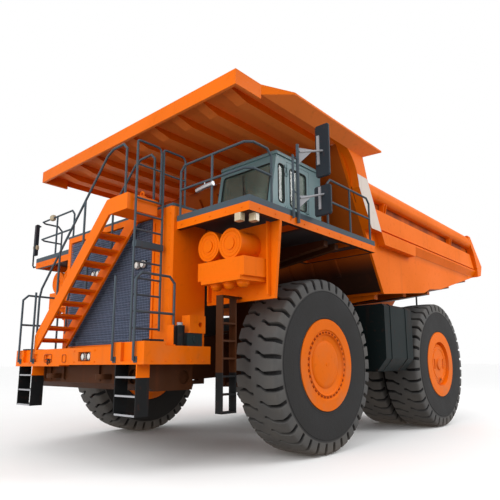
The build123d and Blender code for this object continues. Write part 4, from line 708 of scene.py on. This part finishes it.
# Rim fittings. A profile's points are (along, radius), and a head is (radius, height)
hand = {1: "left", -1: "right"}
frontRim = {
    "seat": 0.020, "dish": 0.065, "clamps": 36, "clampRadius": 0.636, "clampHalf": (0.020, 0.032, 0.016),
    "nutFoot": 0.014, "nut": (0.013, 0.014), "cover": (0.018, 0.030, 0.45),
    "lip": [(0.002, 0.69), (0.012, 0.693), (0.014, 0.704), (0.004, 0.712), (-0.004, 0.705), (-0.004, 0.69)],
    "wedge": [(0, 0.596), (0.014, 0.600), (0.014, 0.610), (0, 0.614)],
    "coverEdge": [(0.008, 0.464), (0, 0.468), (-0.002, 0.468)],
    "hubCap": [(0.046, 0), (0.058, 0), (0.058, 0.030), (0.050, 0.036), (0.044, 0.037)],
}
rearRim = {
    "disc": 0.060, "nuts": 30, "nutRadius": 0.505, "nut": (0.014, 0.014),
    "hubBolts": 8, "hubRadius": 0.12, "hubFoot": 0.038, "hubBolt": (0.010, 0.010), "valveDrop": 0.44,
    "ring": [(-0.002, 0.415), (0.010, 0.418), (0.010, 0.432), (-0.002, 0.436)],
    "pocket": [(0, 0.075), (0.030, 0.070), (0.034, 0.060), (0.030, 0.050), (0.004, 0.046), (0.004, 0)],
    "cup": [(0.006, 0), (0.008, 0.043), (0.012, 0.043), (0.012, 0)],
    "stem": [(0.010, 0), (0.010, 0.012), (0.040, 0.010), (0.042, 0.006), (0.042, 0)],
}


def rimPlace(node, side, inset):
    # the middle of a rim's outer face, moved in along the axle
    low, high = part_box(node)
    middle = (np.array(low) + np.array(high)) / 2
    face = high[0] if side > 0 else low[0]
    return middle * (0, 1, 1) + (face - side * inset, 0, 0)


def frontFittings(side):
    way, body = (side, 0, 0), "wheel_front_" + hand[side]
    seat = rimPlace("rim_front_" + hand[side], side, frontRim["seat"])
    dish = rimPlace("rim_front_" + hand[side], side, frontRim["dish"])
    # the cover plate is domed, along = foot + rise (1 - share^2), and has a rolled edge
    foot, rise, radius = frontRim["cover"]
    dome = [(foot + rise * (1 - share * share), radius * share) for share in np.linspace(0, 1, 9)]
    parts = [turned(frontRim["lip"], seat, way, 96), turned(frontRim["wedge"], seat, way, 96),
             turned(dome + frontRim["coverEdge"], dish, way, 72), turned(frontRim["hubCap"], dish, way, 24)]
    piece("frontRimFittings." + hand[side], parts, "orange", body)
    nuts = ringOf(seat + (side * frontRim["nutFoot"], 0, 0), way, frontRim["clampRadius"], frontRim["clamps"])
    clamps = [clampRing(seat, way, frontRim["clampRadius"], frontRim["clamps"], frontRim["clampHalf"]),
              studs(nuts, way, *frontRim["nut"])]
    piece("rimClamps." + hand[side], clamps, "clamp", body)


def rearFittings(side):
    way, body = (side, 0, 0), "wheel_rear_" + hand[side]
    disc = rimPlace("rims_rear_" + hand[side], side, rearRim["disc"])
    valve = disc - (0, 0, rearRim["valveDrop"])
    hub = ringOf(disc + (side * rearRim["hubFoot"], 0, 0), way, rearRim["hubRadius"], rearRim["hubBolts"])
    parts = [studs(ringOf(disc, way, rearRim["nutRadius"], rearRim["nuts"], 0.5), way, *rearRim["nut"]),
             turned(rearRim["ring"], disc, way, 96), studs(hub, way, *rearRim["hubBolt"]),
             turned(rearRim["pocket"], valve, way, 32)]
    piece("rearRimFittings." + hand[side], parts, "orange", body)
    valveParts = [turned(rearRim["cup"], valve, way, 24), turned(rearRim["stem"], valve, way, 12)]
    piece("valve." + hand[side], valveParts, "black", body)


for side in hand:
    frontFittings(side)
    rearFittings(side)
print("stage: rim fittings")


# Air cleaners: two pressed rings and a knob on each lid, and a band round each dust cup
forwards, upwards = (0, -1, 0), (0, 0, 1)
cleaner = {
    "lids": ((2.49, 3.82), (3.03, 3.79)), "lidFront": -2.480, "cups": (2.56, 2.88, 3.20), "cupBack": -2.33,
    "bandHigh": 3.113,
    "outerRing": [(-0.002, 0.235), (0.008, 0.232), (0.010, 0.222), (0.004, 0.214), (-0.002, 0.212)],
    "innerRing": [(-0.002, 0.165), (0.006, 0.162), (0.006, 0.150), (-0.002, 0.147)],
    "knob": [(0, 0), (0.019, 0.02), (0.012, 0.03), (0, 0.032)],
    "band": [(0.012, 0.114), (0.012, 0.122), (-0.008, 0.122), (-0.008, 0.113)],
}
rings = []
for x, z in cleaner["lids"]:
    lid = at(x, cleaner["lidFront"], z)
    rings.append(turned(cleaner["outerRing"], lid, forwards, 64))
    rings.append(turned(cleaner["innerRing"], lid, forwards, 64))
    rings.append(turned(cleaner["knob"], lid, forwards, 24))
for x in cleaner["cups"]:
    rings.append(turned(cleaner["band"], at(x, cleaner["cupBack"], cleaner["bandHigh"]), upwards, 40))
piece("cleanerFittings", rings + [mirrored(part) for part in rings], "orange", "chassis")


# Painted bolts on the housing, bumper, cleaner panels and deck edges
boltRows = {  # the first and last place, the count, the way that the heads face and the head
    "leftPost": ((1.52, -2.85, 2.20), (1.52, -2.85, 4.50), 10, forwards, (0.013, 0.012)),
    "bumperPlate": ((0.16, -3.66, 1.99), (0.86, -3.66, 1.99), 2, forwards, (0.016, 0.013)),
    "bumperFoot": ((0.16, -3.66, 1.79), (0.86, -3.66, 1.79), 2, forwards, (0.016, 0.013)),
    "rightPlate": ((-2.15, -3.66, 1.99), (-1.66, -3.66, 1.99), 2, forwards, (0.016, 0.013)),
    "rightFoot": ((-2.15, -3.66, 1.79), (-1.66, -3.66, 1.79), 2, forwards, (0.016, 0.013)),
}
pairedRows = {  # the same for rows that are on both sides
    "corner": ((1.84, -2.85, 2.20), (1.84, -2.85, 4.50), 10, forwards, (0.013, 0.012)),
    "wing": ((2.3, -3.5, 1.80), (2.3, -2.4, 1.80), 5, (1, 0, 0), (0.015, 0.012)),
    "deckSide": ((3.72, -2.5, 4.265), (3.72, 1.3, 4.265), 10, (1, 0, 0), (0.013, 0.011)),
    "panel": ((2.1, -1.96, 2.95), (3.40, -1.96, 2.95), 7, forwards, (0.012, 0.011)),
    "deckFront": ((2.05, -2.75, 4.265), (3.55, -2.75, 4.265), 5, forwards, (0.013, 0.011)),
}


def boltRow(start, end, count, way, head):
    return studs(np.linspace(at(*start), at(*end), count), way, *head)


heads = [boltRow(*row) for row in (*boltRows.values(), *pairedRows.values())]
heads += [mirrored(boltRow(*row)) for row in pairedRows.values()]
piece("paintedBolts", heads, "orange", "chassis")
print("stage: cleaner fittings and bolts")


# Guard mesh before the cooling fins: thin round wires both ways, in a paler tone that is painted highlight
guard = {"left": 1.30, "right": -1.72, "low": 2.17, "high": 4.49, "back": -2.842, "pitch": 0.05,
         "wire": 0.003, "bar": 0.009, "barBack": -2.822, "firstBar": 0.030, "finPitch": 0.085, "bars": 27}


def bar(ends, radius, count=8):
    # a straight round bar between places given as at() takes them
    return tube([at(*end) for end in ends], radius, count)


def guardBar(back, high, radius, count):
    return bar([(guard["right"], back, high), (guard["left"], back, high)], radius, count)


wires = [bar([(x, guard["back"], guard["low"]), (x, guard["back"], guard["high"])], guard["wire"], 4)
         for x in np.arange(guard["right"], guard["left"], guard["pitch"])]
wires += [guardBar(guard["back"] - 2 * guard["wire"], z, guard["wire"], 4)
          for z in np.arange(guard["low"], guard["high"], guard["pitch"])]
piece("grilleGuard", wires, "mesh", "chassis")

# Round bars between the grille's fins
barHeights = guard["low"] + guard["firstBar"] + guard["finPitch"] * np.arange(guard["bars"])
piece("grilleBars", [guardBar(guard["barBack"], z, guard["bar"], 6) for z in barHeights], "grille", "chassis")


# Lamps: domed glass in rings, in rows of (places across, back, high, radius)
lampRows = {"head": ((-0.65, -0.47, 0.92, 1.10), -2.910, 3.63, 0.064),
            "bumper": ((0.405, 0.615), -3.630, 1.885, 0.060)}
lampForm = {  # how far the dome bulges and the ring's profile, with radii as shares of the lamp's
    "bulge": 0.3, "ring": [(-0.004, 0.98), (0.012, 1.02), (0.014, 1.09), (0.004, 1.14), (-0.012, 1.12)],
}


def lampGlass(centre, radius):
    # the dome is along = bulge * radius * (1 - share^2), and the ring is a rolled lip round it
    bulge = lampForm["bulge"] * radius
    dome = [(bulge * (1 - share * share), radius * share) for share in np.linspace(0, 1, 7)]
    dome += [(-0.002, radius), (-0.002, 0)]
    ring = [(along, radius * share) for along, share in lampForm["ring"]]
    return turned(dome, centre, forwards, 28), turned(ring, centre, forwards, 28)


domes, lips = zip(*(lampGlass(at(x, back, high), radius)
                    for across, back, high, radius in lampRows.values() for x in across))
piece("lampDomes", domes, "lens", "chassis")
piece("lampLips", lips, "black", "chassis")

# Two pale lamps on the right deck's rail, blocks with an open bowl, and a chromed work lamp on a stem
railLamps = {"places": ((-3.88, -2.71, 4.78), (-3.05, -2.71, 5.43)), "half": (0.085, 0.055, 0.075),
             "bowl": [(0, 0), (0.060, 0.05), (0.048, 0.062), (0, 0.064)]}
pale = []
for place in railLamps["places"]:
    pale.append(softBlock(at(*place), railLamps["half"], 0.55, 14, 28))
    pale.append(turned(railLamps["bowl"], at(*place), forwards, 24))
piece("railLamps", pale, "beige", "chassis")
workLamp = {"body": ((2.41, -2.71, 4.83), (2.62, -2.715, 4.855), (2.83, -2.71, 4.87)), "radius": 0.042,
            "stem": ((2.62, -2.71, 4.86), (2.62, -2.71, 4.97)), "stemRadius": 0.014}
lampBody = tube(smoothLine([at(*knot) for knot in workLamp["body"]], 12), workLamp["radius"], 16)
piece("railWorkLamp", [lampBody, bar(workLamp["stem"], workLamp["stemRadius"])], "steel", "chassis")
print("stage: guard and lamps")


# Mirror faces: slightly domed plates on the shells' rear sides
mirrorPlates = {  # the sides' x, the back, the heights and the bulge
    "upper": ((3.82, 4.07), -0.88, (5.28, 6.24), 0.004),
    "lower": ((3.77, 4.08), -0.88, (4.51, 5.02), 0.004),
    "right": ((-3.890, -3.820), -2.68, (4.61, 5.35), 0.002),
}


def mirrorFace(sides, back, heights, bulge, thin=0.002):
    # the plate stands off both ways by thin, and its face bulges by (1 - u u)(1 - v v)
    u, v = np.meshgrid(np.linspace(-1, 1, 9), np.linspace(-1, 1, 9), indexing="ij")
    x = sum(sides) / 2 + u * (sides[1] - sides[0]) / 2
    z = sum(heights) / 2 + v * (heights[1] - heights[0]) / 2
    front = np.stack((x, axle["back"] + back + bulge * (1 - u * u) * (1 - v * v) + thin, z), -1)
    rear = front.copy()
    rear[:, :, 1] = axle["back"] + back - thin
    edge = lambda grid: np.concatenate((grid[0, :-1], grid[:-1, -1], grid[-1, :0:-1], grid[:0:-1, 0]))
    return [skin(front), skin(rear[::-1]), skin(np.stack((edge(front), edge(rear))), ringColumns=True)]


piece("mirrorFaces", sum((mirrorFace(*plate) for plate in mirrorPlates.values()), []), "looking", "chassis")


# Window seals: a round bead along a rounded rectangle
cab = {"left": 2.85, "right": 1.27, "footBack": -1.22, "topBack": -0.95, "footHigh": 4.3853, "topHigh": 6.01,
       "glassLow": 4.93, "glassHigh": 5.83, "screenHalf": 0.68, "corner": 0.07}
panes = {  # an upright pane's middle, the way across it, and half its width and height
    "rear": ((2.06, 0.65, 5.48), (-1, 0, 0), (0.59, 0.35)),
    "right": ((cab["right"], -0.175, 5.38), (0, -1, 0), (0.575, 0.45)),
    "quarter": ((cab["left"], -0.795, 5.415), (0, 1, 0), (0.095, 0.415)),
    "door": ((cab["left"], -0.21, 5.40), (0, 1, 0), (0.29, 0.42)),
}


def sealLoop(centre, across, over, half, corner, radius=0.014, steps=8):
    # a rounded rectangle: four straight runs joined by quarter circles about the corners' centres
    across, over = np.asarray(across, float), np.asarray(over, float)
    angle = np.linspace(0, math.pi / 2, steps)
    path = np.vstack([
        np.column_stack((sx * (half[0] - corner) + corner * np.cos(angle + quarter * math.pi / 2),
                         sy * (half[1] - corner) + corner * np.sin(angle + quarter * math.pi / 2)))
        for quarter, (sx, sy) in enumerate([(1, 1), (-1, 1), (-1, -1), (1, -1)])])
    path = np.asarray(centre) + path[:, :1] * across + path[:, 1:] * over
    ahead = np.roll(path, -1, 0) - np.roll(path, 1, 0)
    ahead = ahead / np.linalg.norm(ahead, axis=1)[:, None]
    out = np.cross(across, over)
    sideways = np.cross(ahead, out)
    turn = np.linspace(0, 2 * math.pi, 8, endpoint=False)[:, None]
    ring = np.cos(turn) * sideways[:, None] + np.sin(turn) * out
    return skin(path[:, None] + radius * ring, ringRows=True, ringColumns=True)


def paneSeal(name):
    middle, across, half = panes[name]
    return sealLoop(at(*middle), across, upwards, half, cab["corner"])


def cabFront(high):
    # how far back the leaning front is at a height
    share = (high - cab["footHigh"]) / (cab["topHigh"] - cab["footHigh"])
    return cab["footBack"] + (cab["topBack"] - cab["footBack"]) * share


screenMiddle = (cab["glassLow"] + cab["glassHigh"]) / 2
lean = np.array([0, cab["topBack"] - cab["footBack"], cab["topHigh"] - cab["footHigh"]])
lean = lean / np.linalg.norm(lean)
screen = at((cab["left"] + cab["right"]) / 2, cabFront(screenMiddle), screenMiddle)
screenHalf = (cab["screenHalf"], (cab["glassHigh"] - cab["glassLow"]) / 2 / lean[2])
seals = [sealLoop(screen, (1, 0, 0), lean, screenHalf, cab["corner"]), paneSeal("rear"), paneSeal("right"),
         paneSeal("quarter")]
piece("windowSeals", seals, "seal", "chassis")
piece("doorSeals", [paneSeal("door")], "seal", "door")

# A wiper on the windscreen: its arm rises from a hub, and the blade crosses its tip
wiper = {"x": 2.25, "foot": 4.86, "off": 0.016, "reach": 0.62, "sweep": -0.22, "armBend": (0.12, 0.02),
         "armRadius": 0.008, "bladeHalf": (-0.05, 0.28), "bladeRadius": 0.010, "hubFoot": 0.012,
         "hub": [(0, 0), (0, 0.028), (0.02, 0.026), (0.03, 0.018), (0.03, 0)]}
outwards = np.cross((1, 0, 0), lean)
foot = at(wiper["x"], cabFront(wiper["foot"]), wiper["foot"]) + outwards * wiper["off"]
tip = foot + lean * wiper["reach"] + (wiper["sweep"], 0, 0) + outwards * 0.012
elbow = foot + lean * wiper["armBend"][0] + outwards * wiper["armBend"][1]
blade = lean * wiper["bladeHalf"][1] + (wiper["bladeHalf"][0], 0, 0)
wiping = [tube(smoothLine([foot, elbow, tip], 14), wiper["armRadius"], 8),
          turned(wiper["hub"], foot - outwards * wiper["hubFoot"], outwards, 20),
          tube(smoothLine([tip - blade, tip - outwards * 0.004, tip + blade], 12), wiper["bladeRadius"], 8)]
piece("wiper", wiping, "seal", "chassis")
print("stage: mirrors, seals and wiper")


# Operator's seat: sewn cushions on a bellows pedestal, in the place of the CAD's plain seat. Places are
# (back, high) from the seat's foot, and halves are (wide, long, thick)
seat = {
    "x": 2.06, "foot": 4.4656, "lean": (0.0, 0.182, 0.983), "pull": 0.05, "groove": (0.12, 0.05),
    "crease": 60,
    "cushion": ((-0.015, 0.392), (0.255, 0.262, 0.062), (-0.45, 0.0, 0.45)),
    "back": ((0.285, 0.690), (0.235, 0.275, 0.060), (-0.4, 0.0, 0.4)),
    "head": ((0.355, 1.062), (0.135, 0.082, 0.048), ()),
    "bellows": (0.18, 0.20, 0.325), "bellowsFoot": 0.002, "folds": 5, "swell": (0.94, 0.05),
    "arm": (0.034, 0.200, 0.029), "armPlace": (0.055, 0.650, 0.29), "barStart": (0.225, 0.655, 0.225),
    "barEnd": (0.225, 0.655, 0.285), "barRadius": 0.018,
}


def seatPlace(back, high, out=0.0):
    return at(seat["x"] + out, back, seat["foot"] + high)


def pad(across, over, place, half, channels, rows=41):
    # Two crowned shells that meet in a seam: out = +-h ((1 - |s|^4)(1 - |t|^4))^0.4, less a groove
    # depth h exp(-((t - c) / width)^2) at each sewn channel c, and the sides pull in by 1 - pull (1 - t t)
    s, t = np.meshgrid(np.linspace(-1, 1, rows), np.linspace(-1, 1, rows), indexing="ij")
    s, t = np.sin(s * math.pi / 2), np.sin(t * math.pi / 2)
    depth, width = seat["groove"]
    crown = ((1 - s ** 4) * (1 - t ** 4)) ** 0.4
    groove = sum(np.exp(-((t - channel) / width) ** 2) for channel in channels) * crown
    across, over = np.asarray(across, float), np.asarray(over, float)
    out = np.cross(across, over)
    wide = s * half[0] * (1 - seat["pull"] * (1 - t * t))
    long = t * half[1] * (1 - seat["pull"] * (1 - s * s))
    flat = seatPlace(*place) + wide[..., None] * across + long[..., None] * over
    face = flat + (half[2] * (crown - depth * groove))[..., None] * out
    rear = flat - (half[2] * crown)[..., None] * out
    return [skin(face), skin(rear[::-1])]


def pedestal():
    # a rounded rectangle at each height, with five folds that swell as a cosine, and closed ends
    halfX, halfY, tall = seat["bellows"]
    high = np.linspace(0.0, tall, 27)[:, None]
    turn = np.linspace(0, 2 * math.pi, 40, endpoint=False)
    squarish = lambda value: np.sign(value) * np.abs(value) ** 0.5
    fold = seat["swell"][0] + seat["swell"][1] * np.cos(high / tall * seat["folds"] * 2 * math.pi)
    x, y = fold * halfX * squarish(np.cos(turn)), fold * halfY * squarish(np.sin(turn))
    grid = np.stack((x, y, high + 0 * turn), -1) + seatPlace(0.0, seat["bellowsFoot"])
    return skin(capped(grid), ringColumns=True)


def padPieceOf(name, across, over, numbers):
    return piece(name, pad(across, over, *numbers), "cloth", "chassis", seat["crease"])


cushion = padPieceOf("seatCushion", (1, 0, 0), (0, 1, 0), seat["cushion"])
backrest = padPieceOf("seatBack", (-1, 0, 0), seat["lean"], seat["back"])
headrest = padPieceOf("seatHeadrest", (-1, 0, 0), seat["lean"], seat["head"])
rests = [softBlock(seatPlace(*seat["armPlace"]), seat["arm"], 0.4, 12, 24),
         tube([seatPlace(*seat["barStart"]), seatPlace(*seat["barEnd"])], seat["barRadius"], 12)]
middle = np.array((2 * seat["x"], 0, 0))
rests += [(points * (-1, 1, 1) + middle, faces[:, ::-1]) for points, faces in rests]
piece("seatBase", [pedestal()] + rests, "console", "chassis")
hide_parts("operator_seat")
print("stage: seat")


# Pipework. Two hoops on top of the upright ladder, with a crossbar each and a foot on the deck
pipes = {"x": 1.71, "radius": 0.020, "bend": 0.11, "start": 5.69, "top": 5.76,
         "frontHoop": (-3.52, -2.985, 4.67), "rearHoop": (-2.93, -2.40, 4.69), "barHeights": (5.30, 5.28),
         "barRadius": 0.016,
         "shoe": [(0, 0), (0, 0.05), (0.012, 0.05), (0.014, 0.022)]}


def hoop(start, end, low):
    # up from the ladder at the start, over, and down at the end to the low height
    x, top = pipes["x"], pipes["top"]
    corners = [(x, start, pipes["start"]), (x, start, top), (x, end, top), (x, end, low)]
    return tube(bent([at(*corner) for corner in corners], pipes["bend"]), pipes["radius"], 12)


hoops = []
for ends, high in zip((pipes["frontHoop"], pipes["rearHoop"]), pipes["barHeights"]):
    hoops.append(hoop(*ends))
    hoops.append(bar([(pipes["x"], ends[0], high), (pipes["x"], ends[1], high)], pipes["barRadius"], 10))
hoops.append(turned(pipes["shoe"], at(pipes["x"], *pipes["rearHoop"][1:]), upwards, 20))
piece("ladderHoops", hoops, "slate", "chassis")


def plate(corners, thick):
    # a flat plate: its outline stands half the thickness off both ways, closed to the middle of each side
    corners = np.array([at(*corner) for corner in corners])
    out = np.cross(corners[1] - corners[0], corners[2] - corners[0])
    out = out / np.linalg.norm(out) * thick / 2
    middle = corners.mean(0, keepdims=True).repeat(len(corners), 0)
    return skin(np.stack((middle + out, corners + out, corners - out, middle - out)), ringColumns=True)


# The left mirrors' second post with two ties to the first, and a gusset on each of their arms
mirrorPost = {"x": 3.752, "back": -1.60, "tieTo": -1.45, "heights": (4.30, 5.50), "ties": (5.46, 4.80),
              "radius": 0.022, "tieRadius": 0.014, "thick": 0.012}
gussets = [[(3.752, -1.44, 5.69), (3.88, -1.11, 5.715), (3.752, -1.44, 5.36)],
           [(3.752, -1.44, 4.76), (3.86, -1.16, 4.80), (3.752, -1.44, 4.52)]]
x, back = mirrorPost["x"], mirrorPost["back"]
posts = [bar([(x, back, z) for z in mirrorPost["heights"]], mirrorPost["radius"], 12)]
posts += [bar([(x, back, z), (x, mirrorPost["tieTo"], z)], mirrorPost["tieRadius"])
          for z in mirrorPost["ties"]]
piece("mirrorPost", posts, "slate", "chassis")
piece("mirrorGussets", [plate(corners, mirrorPost["thick"]) for corners in gussets], "bracket", "chassis")

# A lifting eye on its pad beside the stair's head
eye = {"centre": (1.58, -3.30, 4.80), "radius": 0.048, "bar": 0.016, "pad": (1.58, -3.30, 4.748),
       "padHalf": (0.07, 0.05, 0.014)}
turn = np.linspace(0, 2 * math.pi, 25)
loop = at(*eye["centre"]) + eye["radius"] * np.column_stack((np.cos(turn), 0 * turn, np.sin(turn)))
eyePad = softBlock(at(*eye["pad"]), eye["padHalf"], 0.4, 8, 20)
piece("liftingEye", [tube(loop, eye["bar"], 10), eyePad], "orange", "chassis")

# Rock bars that hang from the bed between the twin tyres
rockBar = {"x": 2.37, "line": ((6.76, 3.99), (6.75, 3.40), (6.70, 2.95)), "radius": 0.026,
           "block": (6.76, 3.95), "half": (0.045, 0.10, 0.05)}
for side in hand:
    x = side * rockBar["x"]
    hanging = [bar([(x, *knot) for knot in rockBar["line"]], rockBar["radius"], 10),
               softBlock(at(x, *rockBar["block"]), rockBar["half"], 0.4, 8, 20)]
    piece("rockBar." + hand[side], hanging, "black", "bed")
print("stage: pipework")


# Tow pocket on the bumper: two beaded frames, each (x, high, half wide, half high), and a hook on a pin
tow = {"front": -3.664, "frames": ((-0.85, 1.87, 0.15, 0.075), (-0.21, 1.86, 0.07, 0.070)),
       "corner": 0.03, "bead": 0.010,
       "hook": (-0.80, -3.676, 1.80), "hookRadius": 0.045, "hookTurn": (-0.6, 4.6), "hookBar": 0.013,
       "pin": ((-0.80, -3.660, 1.845), (-0.80, -3.698, 1.845)), "pinRadius": 0.018,
       "rod": ((-0.93, -3.674, 1.845), (-0.70, -3.674, 1.845)), "rodRadius": 0.009}
frames = [sealLoop(at(x, tow["front"], z), (1, 0, 0), upwards, (halfX, halfZ), tow["corner"], tow["bead"])
          for x, z, halfX, halfZ in tow["frames"]]
piece("towPockets", frames, "clamp", "chassis")
turn = np.linspace(*tow["hookTurn"], 22)
curl = np.column_stack((np.cos(turn), 0.25 * np.sin(turn), np.sin(turn)))
hook = at(*tow["hook"]) + tow["hookRadius"] * curl
piece("towHook", [tube(hook, tow["hookBar"], 10), bar(tow["pin"], tow["pinRadius"], 12),
                  bar(tow["rod"], tow["rodRadius"])], "black", "chassis")


# Corner plates in the bed, from the floor up to the side walls. The line is (back, high)
corner = {"line": ((2.70, 3.497), (6.40, 4.02), (9.785, 4.859)), "root": 3.06, "foot": 3.15, "wall": 3.239,
          "lift": 0.004, "rise": 0.20, "inset": 0.06}


def cornerPlate():
    # At each station of the side view's line, four points along its normal: the root on the floor, the rise
    # on the wall and two below the floor. At a bend the normal is the mean of its neighbours over its
    # length squared.
    line = np.array(corner["line"])
    ways = np.diff(line, axis=0)
    ways = ways / np.linalg.norm(ways, axis=1)[:, None]
    square = np.column_stack((-ways[:, 1], ways[:, 0]))
    normal = np.vstack((square[:1], (square[:-1] + square[1:]) / 2, square[-1:]))
    normal = normal / (normal ** 2).sum(1)[:, None]
    across = np.array((corner["root"], corner["wall"], corner["wall"], corner["foot"]))
    lift = np.array((corner["lift"], corner["rise"], -corner["inset"], -corner["inset"]))
    side = line[:, None] + normal[:, None] * lift[None, :, None]
    grid = np.stack((across + 0 * side[:, :, 0], axle["back"] + side[:, :, 0], side[:, :, 1]), -1)
    return skin(capped(grid), ringColumns=True)


piece("bedCorners", [cornerPlate(), mirrored(cornerPlate())], "bedFloor", "bed")
print("stage: tow pocket and bed corners")


# Camera at the photograph's place
camera = {"place": (8.793, -11.509, 1.731), "pitch": 100.36, "azimuth": 41.12, "roll": -0.26, "lens": 35.37,
          "sensor": 36.0, "shift": (-0.0129, 0.0494)}
lens = bpy.data.cameras.new("view")
lens.lens, lens.sensor_width = camera["lens"], camera["sensor"]
lens.shift_x, lens.shift_y = camera["shift"]
viewer = bpy.data.objects.new("view", lens)
turn = (Matrix.Rotation(math.radians(camera["azimuth"]), 4, "Z")
        @ Matrix.Rotation(math.radians(camera["pitch"]), 4, "X")
        @ Matrix.Rotation(math.radians(camera["roll"]), 4, "Z"))
viewer.matrix_world = Matrix.Translation(camera["place"]) @ turn
bpy.context.scene.collection.objects.link(viewer)
bpy.context.scene.camera = viewer


# Floor, sky and lights
lights = {  # place, aim, size, power and tint
    "key": ((6, -24, 14), (0, -2, 3), 14, 1450, (1.0, 1.0, 1.0)),
    "side": ((16, 7, 12), (0, 0, 3), 10, 1350, (1.0, 1.0, 1.0)),
    "bounce": ((1, -17, 0.9), (-1, -4, 6), 12, 760, (1.0, 0.95, 0.88)),
}
paper = {"span": 4000.0, "tones": ((0.94, 0.94, 0.94), (0.97, 0.97, 0.97))}
sky = {"above": (1.0, 1.0, 1.0), "below": (0.34, 0.29, 0.25), "horizon": (-0.06, 0.0), "strength": 1.0}


def lamp(name, place, aim, size, power, tint):
    light = bpy.data.lights.new(name, "AREA")
    light.shape, light.size, light.energy, light.color = "DISK", size, power, tint
    holder = bpy.data.objects.new(name, light)
    way = np.array(aim, float) - np.array(place, float)
    heading = math.atan2(way[1], way[0])
    fall = math.atan2(math.hypot(way[0], way[1]), -way[2])
    gaze = Matrix.Rotation(heading - math.pi / 2, 4, "Z") @ Matrix.Rotation(fall, 4, "X")
    holder.matrix_world = Matrix.Translation(place) @ gaze
    bpy.context.scene.collection.objects.link(holder)


span = paper["span"]
ground = bpy.data.meshes.new("ground")
square = [(-span, -span, 0), (span, -span, 0), (span, span, 0), (-span, span, 0)]
ground.from_pydata(square, [], [(0, 1, 2, 3)])
floor = bpy.data.objects.new("ground", ground)
bpy.context.scene.collection.objects.link(floor)
sheet = Finish("paper", Roughness=0.9, Specular_IOR_Level=0.2)
sheet.feed(Base_Color=sheet.mix(sheet.noise(0.4, 2.0), *paper["tones"]))
ground.materials.append(sheet.material)
floor.visible_diffuse = False  # the sheet is pale to the eye but throws no light up under the truck

# The sky is a white dome above and a dim one below, from how far up a ray points
world = bpy.data.worlds.new("sky")
world.use_nodes = True
dome = world.node_tree
spots = dome.nodes.new("ShaderNodeTexCoord")
parts = dome.nodes.new("ShaderNodeSeparateXYZ")
rise = dome.nodes.new("ShaderNodeMapRange")
rise.inputs["From Min"].default_value, rise.inputs["From Max"].default_value = sky["horizon"]
blend = dome.nodes.new("ShaderNodeMix")
blend.data_type = "RGBA"
blend.inputs[6].default_value, blend.inputs[7].default_value = (*sky["below"], 1), (*sky["above"], 1)
dome.links.new(spots.outputs["Generated"], parts.inputs[0])
dome.links.new(parts.outputs["Z"], rise.inputs["Value"])
dome.links.new(rise.outputs[0], blend.inputs[0])
dome.links.new(blend.outputs[2], dome.nodes["Background"].inputs["Color"])
dome.nodes["Background"].inputs["Strength"].default_value = sky["strength"]
bpy.context.scene.world = world
bpy.context.scene.view_settings.view_transform = "Standard"
for name, light in lights.items():
    lamp(name, *light)
print("stage: camera, floor and light")
